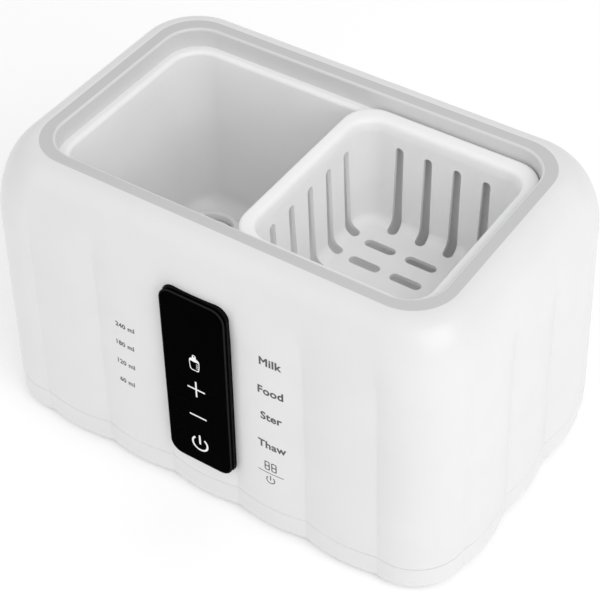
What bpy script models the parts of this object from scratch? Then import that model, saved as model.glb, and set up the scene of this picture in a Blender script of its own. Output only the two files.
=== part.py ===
"""Double bottle warmer: lobed housing, water tank, lift-out steam basket and touch panel.

Metres, +Z up. The origin is on the surface that the feet stand on, at the middle of the
footprint's box. +X is the width, -Y the front with the control panel.
Run with: blender --background --python part.py
"""

import math

import bmesh
import bpy
from mathutils import Matrix, Vector

GAP = 0.0003                     # clearance kept between touching pieces
LEAD_GAP = 0.0008                # clearance between a wire's end and what it meets
MERGE = 0.00001                  # merge distance for closing turned shapes

# Whole body
TOP_Z = 0.1430                   # flat top of the rim
SEAM_Z = 0.0156                  # joint line between housing and base
BODY_Y = 0.0003                  # centres the footprint, the panel standing out furthest
LIP_X, LIP_Y, LIP_R = 0.0940, 0.0524, 0.0165     # half sizes and corner of the top opening
RIM_BAND = 0.0061                # flat band around the opening
SHOULDER_OUT, SHOULDER_DROP = 0.0180, 0.0380     # quarter ellipse from band to wall
FLARE = 0.0021                   # the wall leans out by this much down to the seam
WALL_R = 0.0315                  # corner radius of the wall in plan
SKIN = 0.0024                    # thickness of the moulded shells
LOBE_DEPTH = 0.0023              # depth of the V grooves between the lobes
LOBE_PITCH = 0.0355              # width of one lobe
LOBE_STEPS, CORNER_STEPS = 4, 5
LOBE_FADE_START, LOBE_FADE = 0.0060, 0.0360      # the grooves fade in below the rim

# Tank
LEDGE_Z = 0.1337                 # ledge that the basket hangs on
LEDGE_FLAT, LEDGE_ROUND = 0.0022, 0.0016
FLANGE_OUT = 0.0120              # tank flange under the rim, outside the opening
TANK_SKIN = 0.0022
TANK_FLOOR_Z = 0.0450
TANK_FILLET = 0.0080
TANK_DRAFT = math.tan(math.radians(1.0))
TANK_SCREWS = (0.0600, 0.0610)   # +-X, +-Y of the four screws under the rim

# Heater under the tank floor
PLATE_X, PLATE_Y, PLATE_R = 0.0520, 0.0240, 0.0160
PLATE_LIP = 0.0060
HEATER_SIZE = (0.0440, 0.0300, 0.0080)
HEATER_X = 0.0290
CLAMP_SCREW_X = 0.0660
SENSOR_XY = (-0.0676, 0.0242)
SENSOR_RING_R, SENSOR_RING_H = 0.0126, 0.0060

# Basket
BASKET_X, BASKET_HALF_X, BASKET_HALF_Y = 0.0466, 0.0466, 0.0512
BASKET_R = 0.0142
BASKET_TOP_Z = 0.1370
BASKET_DEPTH = 0.0540            # rim top to floor
BASKET_SKIN = 0.0018
SLOT_W, FLOOR_SLOT_L = 0.0046, 0.0155
SIDE_PITCH, END_PITCH, FLOOR_PITCH_X, FLOOR_PITCH_Y = 0.0140, 0.01425, 0.0209, 0.0131

# Control panel, in a frame that leans with the front wall
PANEL_X, PANEL_Z = 0.0010, 0.0725
PANEL_FRONT_Y = -0.0786
PANEL_TILT = -math.atan(2.0 / 97.0)
PANEL_W, PANEL_H, PANEL_R = 0.0326, 0.0962, 0.0062
GLASS_T, BEZEL_T = 0.0016, 0.0021
KEY_HEIGHTS = (0.0129, -0.0026, -0.0190, -0.0359)

# Base, feet and electronics
BASE_BOTTOM_Z = 0.0020
BASE_ROLL = 0.0038               # radius that the base rolls in with at the bottom
FOOT_XY, FOOT_R = (0.0850, 0.0480), 0.0070
BASE_SCREW_XY = (0.1045, 0.0355)
SCREW_WELL_Z = 0.0115            # top of the wells that the base screws' heads sit in
BOARD_Y, BOARD_SIZE = -0.0380, (0.1040, 0.0520, 0.0016)
BOARD_Z = 0.0090
BOARD_SCREW = (0.0470, 0.0210)
PARTS_Z = BOARD_Z + BOARD_SIZE[2] + GAP
INLET_Z, INLET_FACE_Y = 0.0310, 0.0790
PIN_X, PIN_SETBACK, PIN_LENGTH = 0.0043, 0.0020, 0.0210


# ---------------------------------------------------------------- scene helpers

def clear_scene():
    """Remove every object of the scene."""
    for obj in list(bpy.data.objects):
        bpy.data.objects.remove(obj, do_unlink=True)


def new_collection(name):
    """Return a new collection linked to the scene."""
    collection = bpy.data.collections.new(name)
    bpy.context.scene.collection.children.link(collection)
    return collection


def plastic(name, colour, roughness, metallic=0.0):
    """Return a Principled material."""
    material = bpy.data.materials.new(name)
    material.use_nodes = True
    shader = material.node_tree.nodes["Principled BSDF"]
    shader.inputs["Base Color"].default_value = (*colour, 1.0)
    shader.inputs["Roughness"].default_value = roughness
    shader.inputs["Metallic"].default_value = metallic
    return material


clear_scene()
PARTS = new_collection("bottle_warmer")
CUTTERS = new_collection("cutters")
ROOT = bpy.data.objects.new("bottle_warmer", None)
PARTS.objects.link(ROOT)
ROOT.location = (0.0, BODY_Y, 0.0)
PANEL = bpy.data.objects.new("panel_frame", None)
PARTS.objects.link(PANEL)
PANEL.parent = ROOT
PANEL.location = (PANEL_X, PANEL_FRONT_Y, PANEL_Z)
PANEL.rotation_euler = (PANEL_TILT, 0.0, 0.0)

SHELL = plastic("shell", (0.88, 0.88, 0.88), 0.18)
TANK = plastic("tank", (0.84, 0.84, 0.84), 0.35)
BASKET = plastic("basket", (0.88, 0.88, 0.88), 0.45)
GLASS = plastic("panel_glass", (0.006, 0.006, 0.007), 0.06)
BLACK = plastic("panel_black", (0.012, 0.012, 0.013), 0.30)
DIFFUSER = plastic("diffuser", (0.80, 0.80, 0.78), 0.40)
RUBBER = plastic("rubber", (0.55, 0.55, 0.55), 0.75)
SILICONE = plastic("silicone", (0.70, 0.70, 0.68), 0.55)
STEEL = plastic("steel", (0.62, 0.62, 0.61), 0.30, 1.0)
ALLOY = plastic("alloy", (0.70, 0.70, 0.70), 0.40, 1.0)
BRASS = plastic("brass", (0.72, 0.55, 0.28), 0.35, 1.0)
BOARD = plastic("board", (0.03, 0.17, 0.08), 0.45)
NYLON = plastic("nylon", (0.78, 0.77, 0.72), 0.50)
DARK = plastic("dark_plastic", (0.03, 0.03, 0.03), 0.50)
WIRE = plastic("wire", (0.50, 0.04, 0.03), 0.55)
RIBBON = plastic("ribbon", (0.30, 0.30, 0.32), 0.55)


def finish(obj, material, parent=ROOT, location=(0.0, 0.0, 0.0), rotation=(0.0, 0.0, 0.0)):
    """Give a piece its material and its place, and return it."""
    obj.data.materials.clear()
    obj.data.materials.append(material)
    PARTS.objects.link(obj)
    obj.parent = parent
    obj.location = location
    obj.rotation_euler = rotation
    obj.data.shade_smooth()
    obj.data.set_sharp_from_angle(angle=math.radians(35.0))
    return obj


def tool(obj, parent=ROOT, location=(0.0, 0.0, 0.0), rotation=(0.0, 0.0, 0.0)):
    """Make a shape a hidden Boolean operand and return it."""
    CUTTERS.objects.link(obj)
    obj.parent = parent
    obj.location = location
    obj.rotation_euler = rotation
    obj.hide_render = True
    obj.display_type = "WIRE"
    return obj


def combine(obj, tools, operation):
    """Apply one live Boolean of each tool to the object."""
    for index, other in enumerate(tools):
        boolean = obj.modifiers.new(f"{operation.lower()}_{index}", "BOOLEAN")
        boolean.operation = operation
        boolean.solver = "EXACT"
        boolean.object = other
    return obj


# ---------------------------------------------------------------- shape helpers

def rounded_outline(half_x, half_y, radius, steps=6):
    """Return the points of a rounded rectangle, anticlockwise from its right side."""
    points = []
    for quarter, (sx, sy) in enumerate(((1, 1), (-1, 1), (-1, -1), (1, -1))):
        for step in range(steps + 1):
            angle = math.radians(90.0 * (quarter + step / steps))
            points.append((sx * (half_x - radius) + radius * math.cos(angle),
                           sy * (half_y - radius) + radius * math.sin(angle)))
    return points


def quarter_point(half_x, half_y, radius, fraction):
    """Return a point and outward normal along a quarter outline, from front middle to side middle."""
    run_x, run_y = half_x - radius, half_y - radius
    arc = radius * math.pi / 2.0
    s = fraction * (run_x + arc + run_y)
    if s <= run_x:
        return Vector((s, -half_y)), Vector((0.0, -1.0))
    if s >= run_x + arc:
        return Vector((half_x, -run_y + (s - run_x - arc))), Vector((1.0, 0.0))
    angle = (s - run_x) / radius
    normal = Vector((math.sin(angle), -math.cos(angle)))
    return Vector((run_x, -run_y)) + radius * normal, normal


def lobe_samples():
    """Return (fraction along the quarter, bulge 0..1) pairs shared by all the lobed rings."""
    half_x = LIP_X + RIM_BAND + SHOULDER_OUT + FLARE
    half_y = LIP_Y + RIM_BAND + SHOULDER_OUT + FLARE
    length = (half_x + half_y) - (2.0 - math.pi / 2.0) * WALL_R
    front = [LOBE_PITCH * k / length for k in (0.5, 1.5, 2.5)]
    side = [1.0 - LOBE_PITCH * k / length for k in (1.5, 0.5)]
    edges = [-front[0]] + front + side + [2.0 - side[-1]]
    samples = []
    for low, high in zip(edges, edges[1:]):
        steps = CORNER_STEPS if low == front[-1] else LOBE_STEPS
        for step in range(steps):
            along = step / steps
            fraction = low + (high - low) * along
            if -1e-9 <= fraction <= 1.0 + 1e-9:
                samples.append((min(max(fraction, 0.0), 1.0), 1.0 - (2.0 * along - 1.0) ** 2))
    return samples


def lobed_outline(offset, radius, depth):
    """Return the scalloped outline that stands the offset outside the top opening."""
    quarter = []
    for fraction, bulge in lobe_samples():
        point, normal = quarter_point(LIP_X + offset, LIP_Y + offset, radius, fraction)
        quarter.append(point - normal * depth * (1.0 - bulge))
    outline = [(p.x, p.y) for p in quarter]
    outline += [(p.x, -p.y) for p in reversed(quarter[:-1])]
    outline += [(-x, y) for x, y in reversed(outline[1:-1])]
    return outline


def wall_offset(z):
    """Return how far the outer wall stands outside the top opening at a height."""
    drop = TOP_Z - z
    if drop < SHOULDER_DROP:
        return RIM_BAND + SHOULDER_OUT * math.sqrt(1.0 - (1.0 - drop / SHOULDER_DROP) ** 2)
    share = (drop - SHOULDER_DROP) / (TOP_Z - SHOULDER_DROP - SEAM_Z)
    return RIM_BAND + SHOULDER_OUT + FLARE * share


def wall_ring(z):
    """Return the lobed ring of the outer wall at a height, as 3D points."""
    offset = wall_offset(z)
    share = offset / (RIM_BAND + SHOULDER_OUT)
    radius = LIP_R + (WALL_R - LIP_R) * min(share, 1.0)
    fade = min(max((TOP_Z - z - LOBE_FADE_START) / LOBE_FADE, 0.0), 1.0)
    depth = LOBE_DEPTH * fade * fade * (3.0 - 2.0 * fade)
    return [(x, y, z) for x, y in lobed_outline(offset, radius, depth)]


def loft(name, rings, close_end=False, close_start=False):
    """Return an object whose open surface runs through rings of equally many points."""
    bm = bmesh.new()
    loops = [[bm.verts.new(point) for point in ring] for ring in rings]
    for lower, upper in zip(loops, loops[1:]):
        for i in range(len(lower)):
            j = (i + 1) % len(lower)
            bm.faces.new((lower[i], lower[j], upper[j], upper[i]))
    if close_end:
        bm.faces.new(loops[-1])
    if close_start:
        bm.faces.new(loops[0][::-1])
    mesh = bpy.data.meshes.new(name)
    bm.to_mesh(mesh)
    bm.free()
    return bpy.data.objects.new(name, mesh)


def thicken(obj, thickness):
    """Give an open surface a wall behind its face."""
    shell = obj.modifiers.new("wall", "SOLIDIFY")
    shell.thickness = thickness
    shell.offset = -1.0
    shell.use_even_offset = True
    return obj


def prism(name, outline, height):
    """Return a flat plate with the outline in XY, standing from z = 0 to the height."""
    curve = bpy.data.curves.new(name, "CURVE")
    curve.dimensions = "2D"
    curve.fill_mode = "BOTH"
    curve.extrude = height / 2.0
    spline = curve.splines.new("POLY")
    spline.points.add(len(outline) - 1)
    for point, (x, y) in zip(spline.points, outline):
        point.co = (x, y, 0.0, 1.0)
    spline.use_cyclic_u = True
    return curve_to_mesh(name, curve, Matrix.Translation((0.0, 0.0, height / 2.0)))


def curve_to_mesh(name, curve, shift):
    """Return a mesh object with the shape of a curve, its caps welded and its faces outward."""
    guide = bpy.data.objects.new(name + "_curve", curve)
    bpy.context.scene.collection.objects.link(guide)
    evaluated = guide.evaluated_get(bpy.context.evaluated_depsgraph_get())
    mesh = bpy.data.meshes.new_from_object(evaluated)
    mesh.name = name
    bpy.data.objects.remove(guide, do_unlink=True)
    bpy.data.curves.remove(curve)
    bm = bmesh.new()
    bm.from_mesh(mesh)
    bmesh.ops.remove_doubles(bm, verts=bm.verts, dist=MERGE)
    bmesh.ops.recalc_face_normals(bm, faces=bm.faces)
    bmesh.ops.transform(bm, matrix=shift, verts=bm.verts)
    bm.to_mesh(mesh)
    bm.free()
    return bpy.data.objects.new(name, mesh)


def box(name, size, centre=(0.0, 0.0, 0.0)):
    """Return a box of the given size."""
    bm = bmesh.new()
    bmesh.ops.create_cube(bm, size=1.0)
    bmesh.ops.scale(bm, vec=size, verts=bm.verts)
    bmesh.ops.translate(bm, vec=centre, verts=bm.verts)
    mesh = bpy.data.meshes.new(name)
    bm.to_mesh(mesh)
    bm.free()
    return bpy.data.objects.new(name, mesh)


def rod(name, radius, low, high, sides=12):
    """Return a round bar standing on Z from the low to the high level."""
    bm = bmesh.new()
    bmesh.ops.create_cone(bm, cap_ends=True, segments=sides, radius1=radius, radius2=radius,
                          depth=high - low)
    bmesh.ops.translate(bm, vec=(0.0, 0.0, (high + low) / 2.0), verts=bm.verts)
    mesh = bpy.data.meshes.new(name)
    bm.to_mesh(mesh)
    bm.free()
    return bpy.data.objects.new(name, mesh)


def turned(name, profile, sides=12, closed_on_axis=True):
    """Return a turned piece: (radius, z) points run down the outer side, top to bottom."""
    mesh = bpy.data.meshes.new(name)
    points = [(radius, 0.0, z) for radius, z in profile]
    edges = [(i, i + 1) for i in range(len(points) - 1)]
    if not closed_on_axis:
        edges.append((len(points) - 1, 0))
    mesh.from_pydata(points, edges, [])
    obj = bpy.data.objects.new(name, mesh)
    screw = obj.modifiers.new("turn", "SCREW")
    screw.steps = sides
    screw.render_steps = sides
    screw.use_merge_vertices = True
    screw.merge_threshold = MERGE
    return obj


def soften(obj, width, segments=1, angle=40.0):
    """Break the sharp edges of a piece."""
    bevel = obj.modifiers.new("edge", "BEVEL")
    bevel.width = width
    bevel.segments = segments
    bevel.limit_method = "ANGLE"
    bevel.angle_limit = math.radians(angle)
    return obj


def screw_profile(head_r, head_h, shank_r, length):
    """Return a pan-head screw's profile, head at the bottom, shank pointing up from z = 0."""
    tip = shank_r * 0.4
    return [(0.0, length), (tip, length), (shank_r, length - 2.0 * shank_r), (shank_r, 0.0),
            (head_r, 0.0), (head_r, -head_h * 0.5), (head_r * 0.7, -head_h), (0.0, -head_h)]


def corners(half_x, half_y):
    """Return the four corners of a rectangle as (x, y)."""
    return [(sx * half_x, sy * half_y) for sy in (-1, 1) for sx in (-1, 1)]


def arc_steps(count, start=0.0, stop=90.0):
    """Return evenly spaced angles, in radians."""
    return [math.radians(start + (stop - start) * k / count) for k in range(count + 1)]


# ---------------------------------------------------------------- housing

def build_housing():
    """The one-piece lobed outer shell with its rim, panel seat, inlet seat and screw posts."""
    lip = 0.0008
    levels = [0.0, 0.0010, 0.0040, 0.0105, 0.0200, 0.0310, 0.0450, 0.0850]
    rings = [[(x, y, LEDGE_Z + GAP) for x, y in lobed_outline(0.0, LIP_R, 0.0)],
             [(x, y, TOP_Z - lip) for x, y in lobed_outline(0.0, LIP_R, 0.0)],
             [(x, y, TOP_Z) for x, y in lobed_outline(lip, LIP_R + lip, 0.0)]]
    rings += [wall_ring(TOP_Z - drop) for drop in levels]
    rings.append(wall_ring(SEAM_Z + GAP / 2.0))
    housing = thicken(loft("outer_housing", rings[::-1]), SKIN)

    seat_depth = GLASS_T + BEZEL_T + 2.0 * GAP
    upright = (math.pi / 2.0, 0.0, 0.0)
    pad = prism("panel_pad", rounded_outline(0.0200, 0.0492, 0.006, 3), 0.0036)
    inlet_pad = box("inlet_pad", (0.0340, 0.0036, 0.0240))
    added = [tool(pad, PANEL, (-PANEL_X, seat_depth + 0.0030, 0.0), upright),
             tool(inlet_pad, ROOT, (0.0, INLET_FACE_Y - 0.0041, INLET_Z))]
    holes = []
    for index, (x, y) in enumerate(corners(*BASE_SCREW_XY)):
        post = rod(f"post_{index}", 0.0042, SEAM_Z + 0.0007, 0.0600)
        rib = box(f"rib_{index}", (0.0130, 0.0022, 0.0400))
        hole = rod(f"post_hole_{index}", 0.0017, SEAM_Z - 0.002, 0.0320, 10)
        side = math.copysign(1.0, x)
        added += [tool(post, ROOT, (x, y, 0.0)), tool(rib, ROOT, (x + side * 0.0080, y, 0.0390))]
        holes.append(tool(hole, ROOT, (x, y, 0.0)))
    for index, (x, y) in enumerate(corners(*TANK_SCREWS)):
        boss = rod(f"rim_boss_{index}", 0.0034, LEDGE_Z + GAP, TOP_Z - 0.0022)
        hole = rod(f"rim_hole_{index}", 0.0016, LEDGE_Z - 0.002, TOP_Z - SKIN - 0.0004, 10)
        added.append(tool(boss, ROOT, (x, y, 0.0)))
        holes.append(tool(hole, ROOT, (x, y, 0.0)))

    pocket = prism("panel_pocket",
                   rounded_outline(PANEL_W / 2 + GAP, PANEL_H / 2 + GAP, PANEL_R - GAP, 6),
                   seat_depth + 0.0100)
    window = prism("panel_window", rounded_outline(0.0138, 0.0452, 0.0012, 2), 0.0200)
    inlet_pocket = box("inlet_pocket", (0.0266, 0.0120, 0.0166))
    inlet_hole = box("inlet_hole", (0.0216, 0.0300, 0.0116))
    holes += [tool(pocket, PANEL, (0.0, seat_depth, 0.0), upright),
              tool(window, PANEL, (0.0, 0.0150, 0.0), upright),
              tool(inlet_pocket, ROOT, (0.0, INLET_FACE_Y - 0.0023 + 0.0060, INLET_Z)),
              tool(inlet_hole, ROOT, (0.0, INLET_FACE_Y - 0.0100, INLET_Z))]
    combine(housing, added, "UNION")
    combine(housing, holes, "DIFFERENCE")
    return finish(housing, SHELL)


# ---------------------------------------------------------------- tank and rim

def tank_ring(offset, z, radius):
    """Return one rounded ring of the tank, the offset measured inward from the opening."""
    outline = rounded_outline(LIP_X - offset, LIP_Y - offset, radius, 6)
    return [(x, y, z) for x, y in outline]


def build_tank():
    """The water tank: screwed flange, ledge, drafted walls, filleted floor and sensor ring."""
    wall_in = LEDGE_FLAT + LEDGE_ROUND
    rings = [tank_ring(-FLANGE_OUT, LEDGE_Z, 0.0240), tank_ring(LEDGE_FLAT, LEDGE_Z, LIP_R - 0.002)]
    for angle in arc_steps(3)[1:]:
        rings.append(tank_ring(LEDGE_FLAT + LEDGE_ROUND * math.sin(angle),
                               LEDGE_Z - LEDGE_ROUND * (1.0 - math.cos(angle)), LIP_R - 0.003))
    foot_z = TANK_FLOOR_Z + TANK_FILLET
    foot_in = wall_in + (LEDGE_Z - foot_z) * TANK_DRAFT
    for angle in arc_steps(4):
        rings.append(tank_ring(foot_in + TANK_FILLET * (1.0 - math.cos(angle)),
                               foot_z - TANK_FILLET * math.sin(angle), 0.0130))
    tank = thicken(loft("water_tank", rings, close_end=True), TANK_SKIN)

    under = TANK_FLOOR_Z - TANK_SKIN
    sensor = (*SENSOR_XY, 0.0)
    ring = rod("sensor_ring", SENSOR_RING_R, TANK_FLOOR_Z - 0.0010,
               TANK_FLOOR_Z + SENSOR_RING_H, 20)
    added = [tool(ring, ROOT, sensor)]
    for side in (-1, 1):
        boss = rod(f"clamp_boss_{side}", 0.0042, 0.0303, under + 0.0010, 14)
        added.append(tool(boss, ROOT, (side * CLAMP_SCREW_X, 0.0, 0.0)))
    opening = prism("plate_opening", rounded_outline(PLATE_X + GAP, PLATE_Y + GAP, PLATE_R, 5), 0.010)
    well = rod("sensor_well", SENSOR_RING_R - 0.0015, TANK_FLOOR_Z, TANK_FLOOR_Z + 0.010, 20)
    hole = rod("sensor_hole", 0.0078, TANK_FLOOR_Z - 0.006, TANK_FLOOR_Z + 0.004, 16)
    cuts = [tool(opening, ROOT, (0.0, 0.0, TANK_FLOOR_Z - 0.006)), tool(well, ROOT, sensor),
            tool(hole, ROOT, sensor)]
    for side in (-1, 1):
        pilot = rod(f"clamp_pilot_{side}", 0.0016, 0.0280, under - 0.0012, 10)
        cuts.append(tool(pilot, ROOT, (side * CLAMP_SCREW_X, 0.0, 0.0)))
    for index, (x, y) in enumerate(corners(*TANK_SCREWS)):
        cuts.append(tool(rod(f"flange_hole_{index}", 0.0020, LEDGE_Z - 0.006, LEDGE_Z + 0.003, 10),
                         ROOT, (x, y, 0.0)))
    combine(tank, added, "UNION")
    combine(tank, cuts, "DIFFERENCE")
    finish(tank, TANK)

    for index, (x, y) in enumerate(corners(*TANK_SCREWS)):
        screw = turned(f"tank_screw_{index + 1}", screw_profile(0.0028, 0.0018, 0.0012, 0.0082), 8)
        finish(screw, STEEL, ROOT, (x, y, LEDGE_Z - TANK_SKIN - GAP))


def build_rim_seal():
    """The silicone ring that seals the tank flange to the outside of the lip wall."""
    inner, outer = SKIN + GAP, SKIN + GAP + 0.0012
    seal = prism("rim_seal", rounded_outline(LIP_X + outer, LIP_Y + outer, LIP_R + outer, 6), 0.0020)
    hollow = prism("rim_seal_hollow",
                   rounded_outline(LIP_X + inner, LIP_Y + inner, LIP_R + inner, 6), 0.0040)
    combine(seal, [tool(hollow, ROOT, (0.0, 0.0, LEDGE_Z - 0.001))], "DIFFERENCE")
    finish(seal, SILICONE, ROOT, (0.0, 0.0, LEDGE_Z + GAP))


# ---------------------------------------------------------------- heater group

def build_heater():
    """Heating plate, its seal, two heaters, the clamp bar, cut-outs and the water sensor."""
    under = TANK_FLOOR_Z - TANK_SKIN
    lip_top = under - 0.0015
    wide = (PLATE_X + PLATE_LIP, PLATE_Y + PLATE_LIP, PLATE_R + PLATE_LIP)
    plate = prism("heating_plate", rounded_outline(*wide, 5), 0.0025)
    pan = prism("plate_pan", rounded_outline(PLATE_X, PLATE_Y, PLATE_R, 5), 0.0050)
    combine(plate, [tool(pan, ROOT, (0.0, 0.0, lip_top - 0.0010))], "UNION")
    finish(plate, ALLOY, ROOT, (0.0, 0.0, lip_top - 0.0025))

    seal = prism("plate_seal", rounded_outline(*(v - 0.0004 for v in wide), 5), 0.0009)
    hollow = prism("plate_seal_hollow", rounded_outline(PLATE_X + 2 * GAP, PLATE_Y + 2 * GAP, PLATE_R, 5),
                   0.0040)
    combine(seal, [tool(hollow, ROOT, (0.0, 0.0, lip_top - 0.001))], "DIFFERENCE")
    finish(seal, SILICONE, ROOT, (0.0, 0.0, lip_top + GAP))

    plate_under = lip_top - 0.0025
    heater_z = plate_under - GAP - HEATER_SIZE[2] / 2.0
    for name, side in (("heater_left", -1), ("heater_right", 1)):
        heater = soften(box(name, HEATER_SIZE), 0.0008)
        finish(heater, ALLOY, ROOT, (side * HEATER_X, 0.0, heater_z))

    clamp_top = heater_z - HEATER_SIZE[2] / 2.0 - GAP
    bar = prism("heater_clamp", rounded_outline(CLAMP_SCREW_X + 0.006, 0.0085, 0.0060, 4), 0.0015)
    cuts = [tool(rod(f"clamp_hole_{side}", 0.0020, -0.002, 0.004, 12), bar,
                 (side * CLAMP_SCREW_X, 0.0, 0.0)) for side in (-1, 1)]
    combine(bar, cuts, "DIFFERENCE")
    finish(bar, STEEL, ROOT, (0.0, 0.0, clamp_top - 0.0015))
    for index, side in enumerate((-1, 1)):
        screw = turned(f"clamp_screw_{index + 1}", screw_profile(0.0030, 0.0018, 0.0013, 0.0110), 8)
        finish(screw, STEEL, ROOT, (side * CLAMP_SCREW_X, 0.0, clamp_top - 0.0015 - GAP))

    can = [(0.0, 0.0), (0.0078, 0.0), (0.0078, -0.0040), (0.0070, -0.0048), (0.0070, -0.0085),
           (0.0, -0.0085)]
    finish(turned("thermostat", can, 16), STEEL, ROOT, (0.0, 0.0190 + 0.0020, plate_under - GAP))
    fuse = rod("thermal_fuse", 0.0019, -0.0070, 0.0070, 12)
    finish(fuse, ALLOY, ROOT, (0.0, -0.0210, plate_under - GAP - 0.0019), (0.0, math.pi / 2.0, 0.0))

    x, y = SENSOR_XY
    cap = [(0.0, 0.0030), (0.0092, 0.0030), (0.0104, 0.0022), (0.0104, 0.0014), (0.0074, 0.0014),
           (0.0074, -0.0090), (0.0056, -0.0090), (0.0056, 0.0012), (0.0, 0.0012)]
    finish(turned("sensor_cap", cap, 16), TANK, ROOT, (x, y, TANK_FLOOR_Z))
    washer = [(0.0100, 0.0011), (0.0100, GAP), (0.0080, GAP), (0.0080, 0.0011)]
    finish(turned("sensor_seal", washer, 16, closed_on_axis=False), SILICONE, ROOT,
           (x, y, TANK_FLOOR_Z))
    nut = rod("sensor_nut", 0.0108, 0.0, 0.0035, 6)
    combine(nut, [tool(rod("nut_bore", 0.0077, -0.002, 0.006, 16), nut)], "DIFFERENCE")
    finish(nut, STEEL, ROOT, (x, y, under - GAP - 0.0035))
    bead = [(0.0, 0.0), (0.0026, -0.0004), (0.0032, -0.0020), (0.0032, -0.0110), (0.0, -0.0110)]
    finish(turned("ntc_sensor", bead, 12), DARK, ROOT, (x, y, TANK_FLOOR_Z + 0.0008))


# ---------------------------------------------------------------- basket

def basket_ring(inset, drop):
    """Return one ring of the basket, inset from the rim's outer edge, below the rim's top."""
    radius = BASKET_R - 0.5 * inset
    outline = rounded_outline(BASKET_HALF_X - inset, BASKET_HALF_Y - inset * 1.25, radius, 5)
    return [(x, y, -drop) for x, y in outline]


def stadium(half_length, half_width, steps=2):
    """Return the outline of a slot along X with round ends."""
    points = []
    for side in (1, -1):
        for angle in arc_steps(2 * steps, -90.0, 90.0):
            points.append((side * (half_length - half_width + half_width * math.cos(angle)),
                           side * half_width * math.sin(angle)))
    return points


def build_basket():
    """The lift-out steam basket. Its slots run down the walls and turn in under the floor."""
    skirt = BASKET_TOP_Z - LEDGE_Z - GAP
    profile = [(0.0, skirt), (0.0, 0.0012), (0.0004, 0.0004), (0.0013, 0.0), (0.0036, 0.0001),
               (0.0052, 0.0008), (0.0063, 0.0024), (0.0069, 0.0055)]
    fillet, wall_end = 0.0050, 0.0079
    for angle in arc_steps(3):
        profile.append((wall_end + fillet * (1.0 - math.cos(angle)),
                        BASKET_DEPTH - fillet * (1.0 - math.sin(angle))))
    rings = [basket_ring(*point) for point in profile]
    basket = thicken(loft("steam_basket", rings, close_end=True), BASKET_SKIN)

    inner_x, inner_y = BASKET_HALF_X - wall_end, BASKET_HALF_Y - wall_end * 1.25
    slot_top, slot_low = -0.0105, -(BASKET_DEPTH + 0.004)
    foot = 0.0058
    cuts = []

    def side_slot(index, along, reach, turn):
        """One bent slot: an upright cut through the wall and a flat one through the floor's edge."""
        upright = prism(f"slot_wall_{index}", stadium((slot_top - slot_low) / 2 + 0.004, SLOT_W / 2), 0.0072)
        lower = prism(f"slot_foot_{index}", stadium(0.0085, SLOT_W / 2), 0.0100)
        frame = Matrix.Rotation(turn, 4, "Z")
        stand = Matrix.Rotation(math.pi / 2, 4, "Y")
        middle = (slot_top + slot_low) / 2 - 0.004
        upright.data.transform(frame @ Matrix.Translation((reach - 0.0030, along, middle)) @ stand)
        lower.data.transform(frame @ Matrix.Translation((reach - foot + 0.0085, along, slot_low)))
        cuts.extend([tool(upright, basket), tool(lower, basket)])

    for index in range(5):
        along = (index - 2) * SIDE_PITCH
        side_slot(index, along, inner_x, 0.0)
        side_slot(10 + index, along, inner_x, math.pi)
    for index in range(4):
        along = (index - 1.5) * END_PITCH
        side_slot(20 + index, along, inner_y, math.pi / 2)
        side_slot(30 + index, along, inner_y, -math.pi / 2)
    for row in range(5):
        for column in range(3):
            slot = prism(f"slot_floor_{row}{column}", stadium(FLOOR_SLOT_L / 2, SLOT_W / 2), 0.0080)
            slot.data.transform(Matrix.Translation(((column - 1) * FLOOR_PITCH_X,
                                                    (row - 2) * FLOOR_PITCH_Y, slot_low)))
            cuts.append(tool(slot, basket))
    combine(basket, cuts, "DIFFERENCE")
    finish(basket, BASKET, ROOT, (BASKET_X, 0.0, BASKET_TOP_Z))


# ---------------------------------------------------------------- control panel

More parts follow.
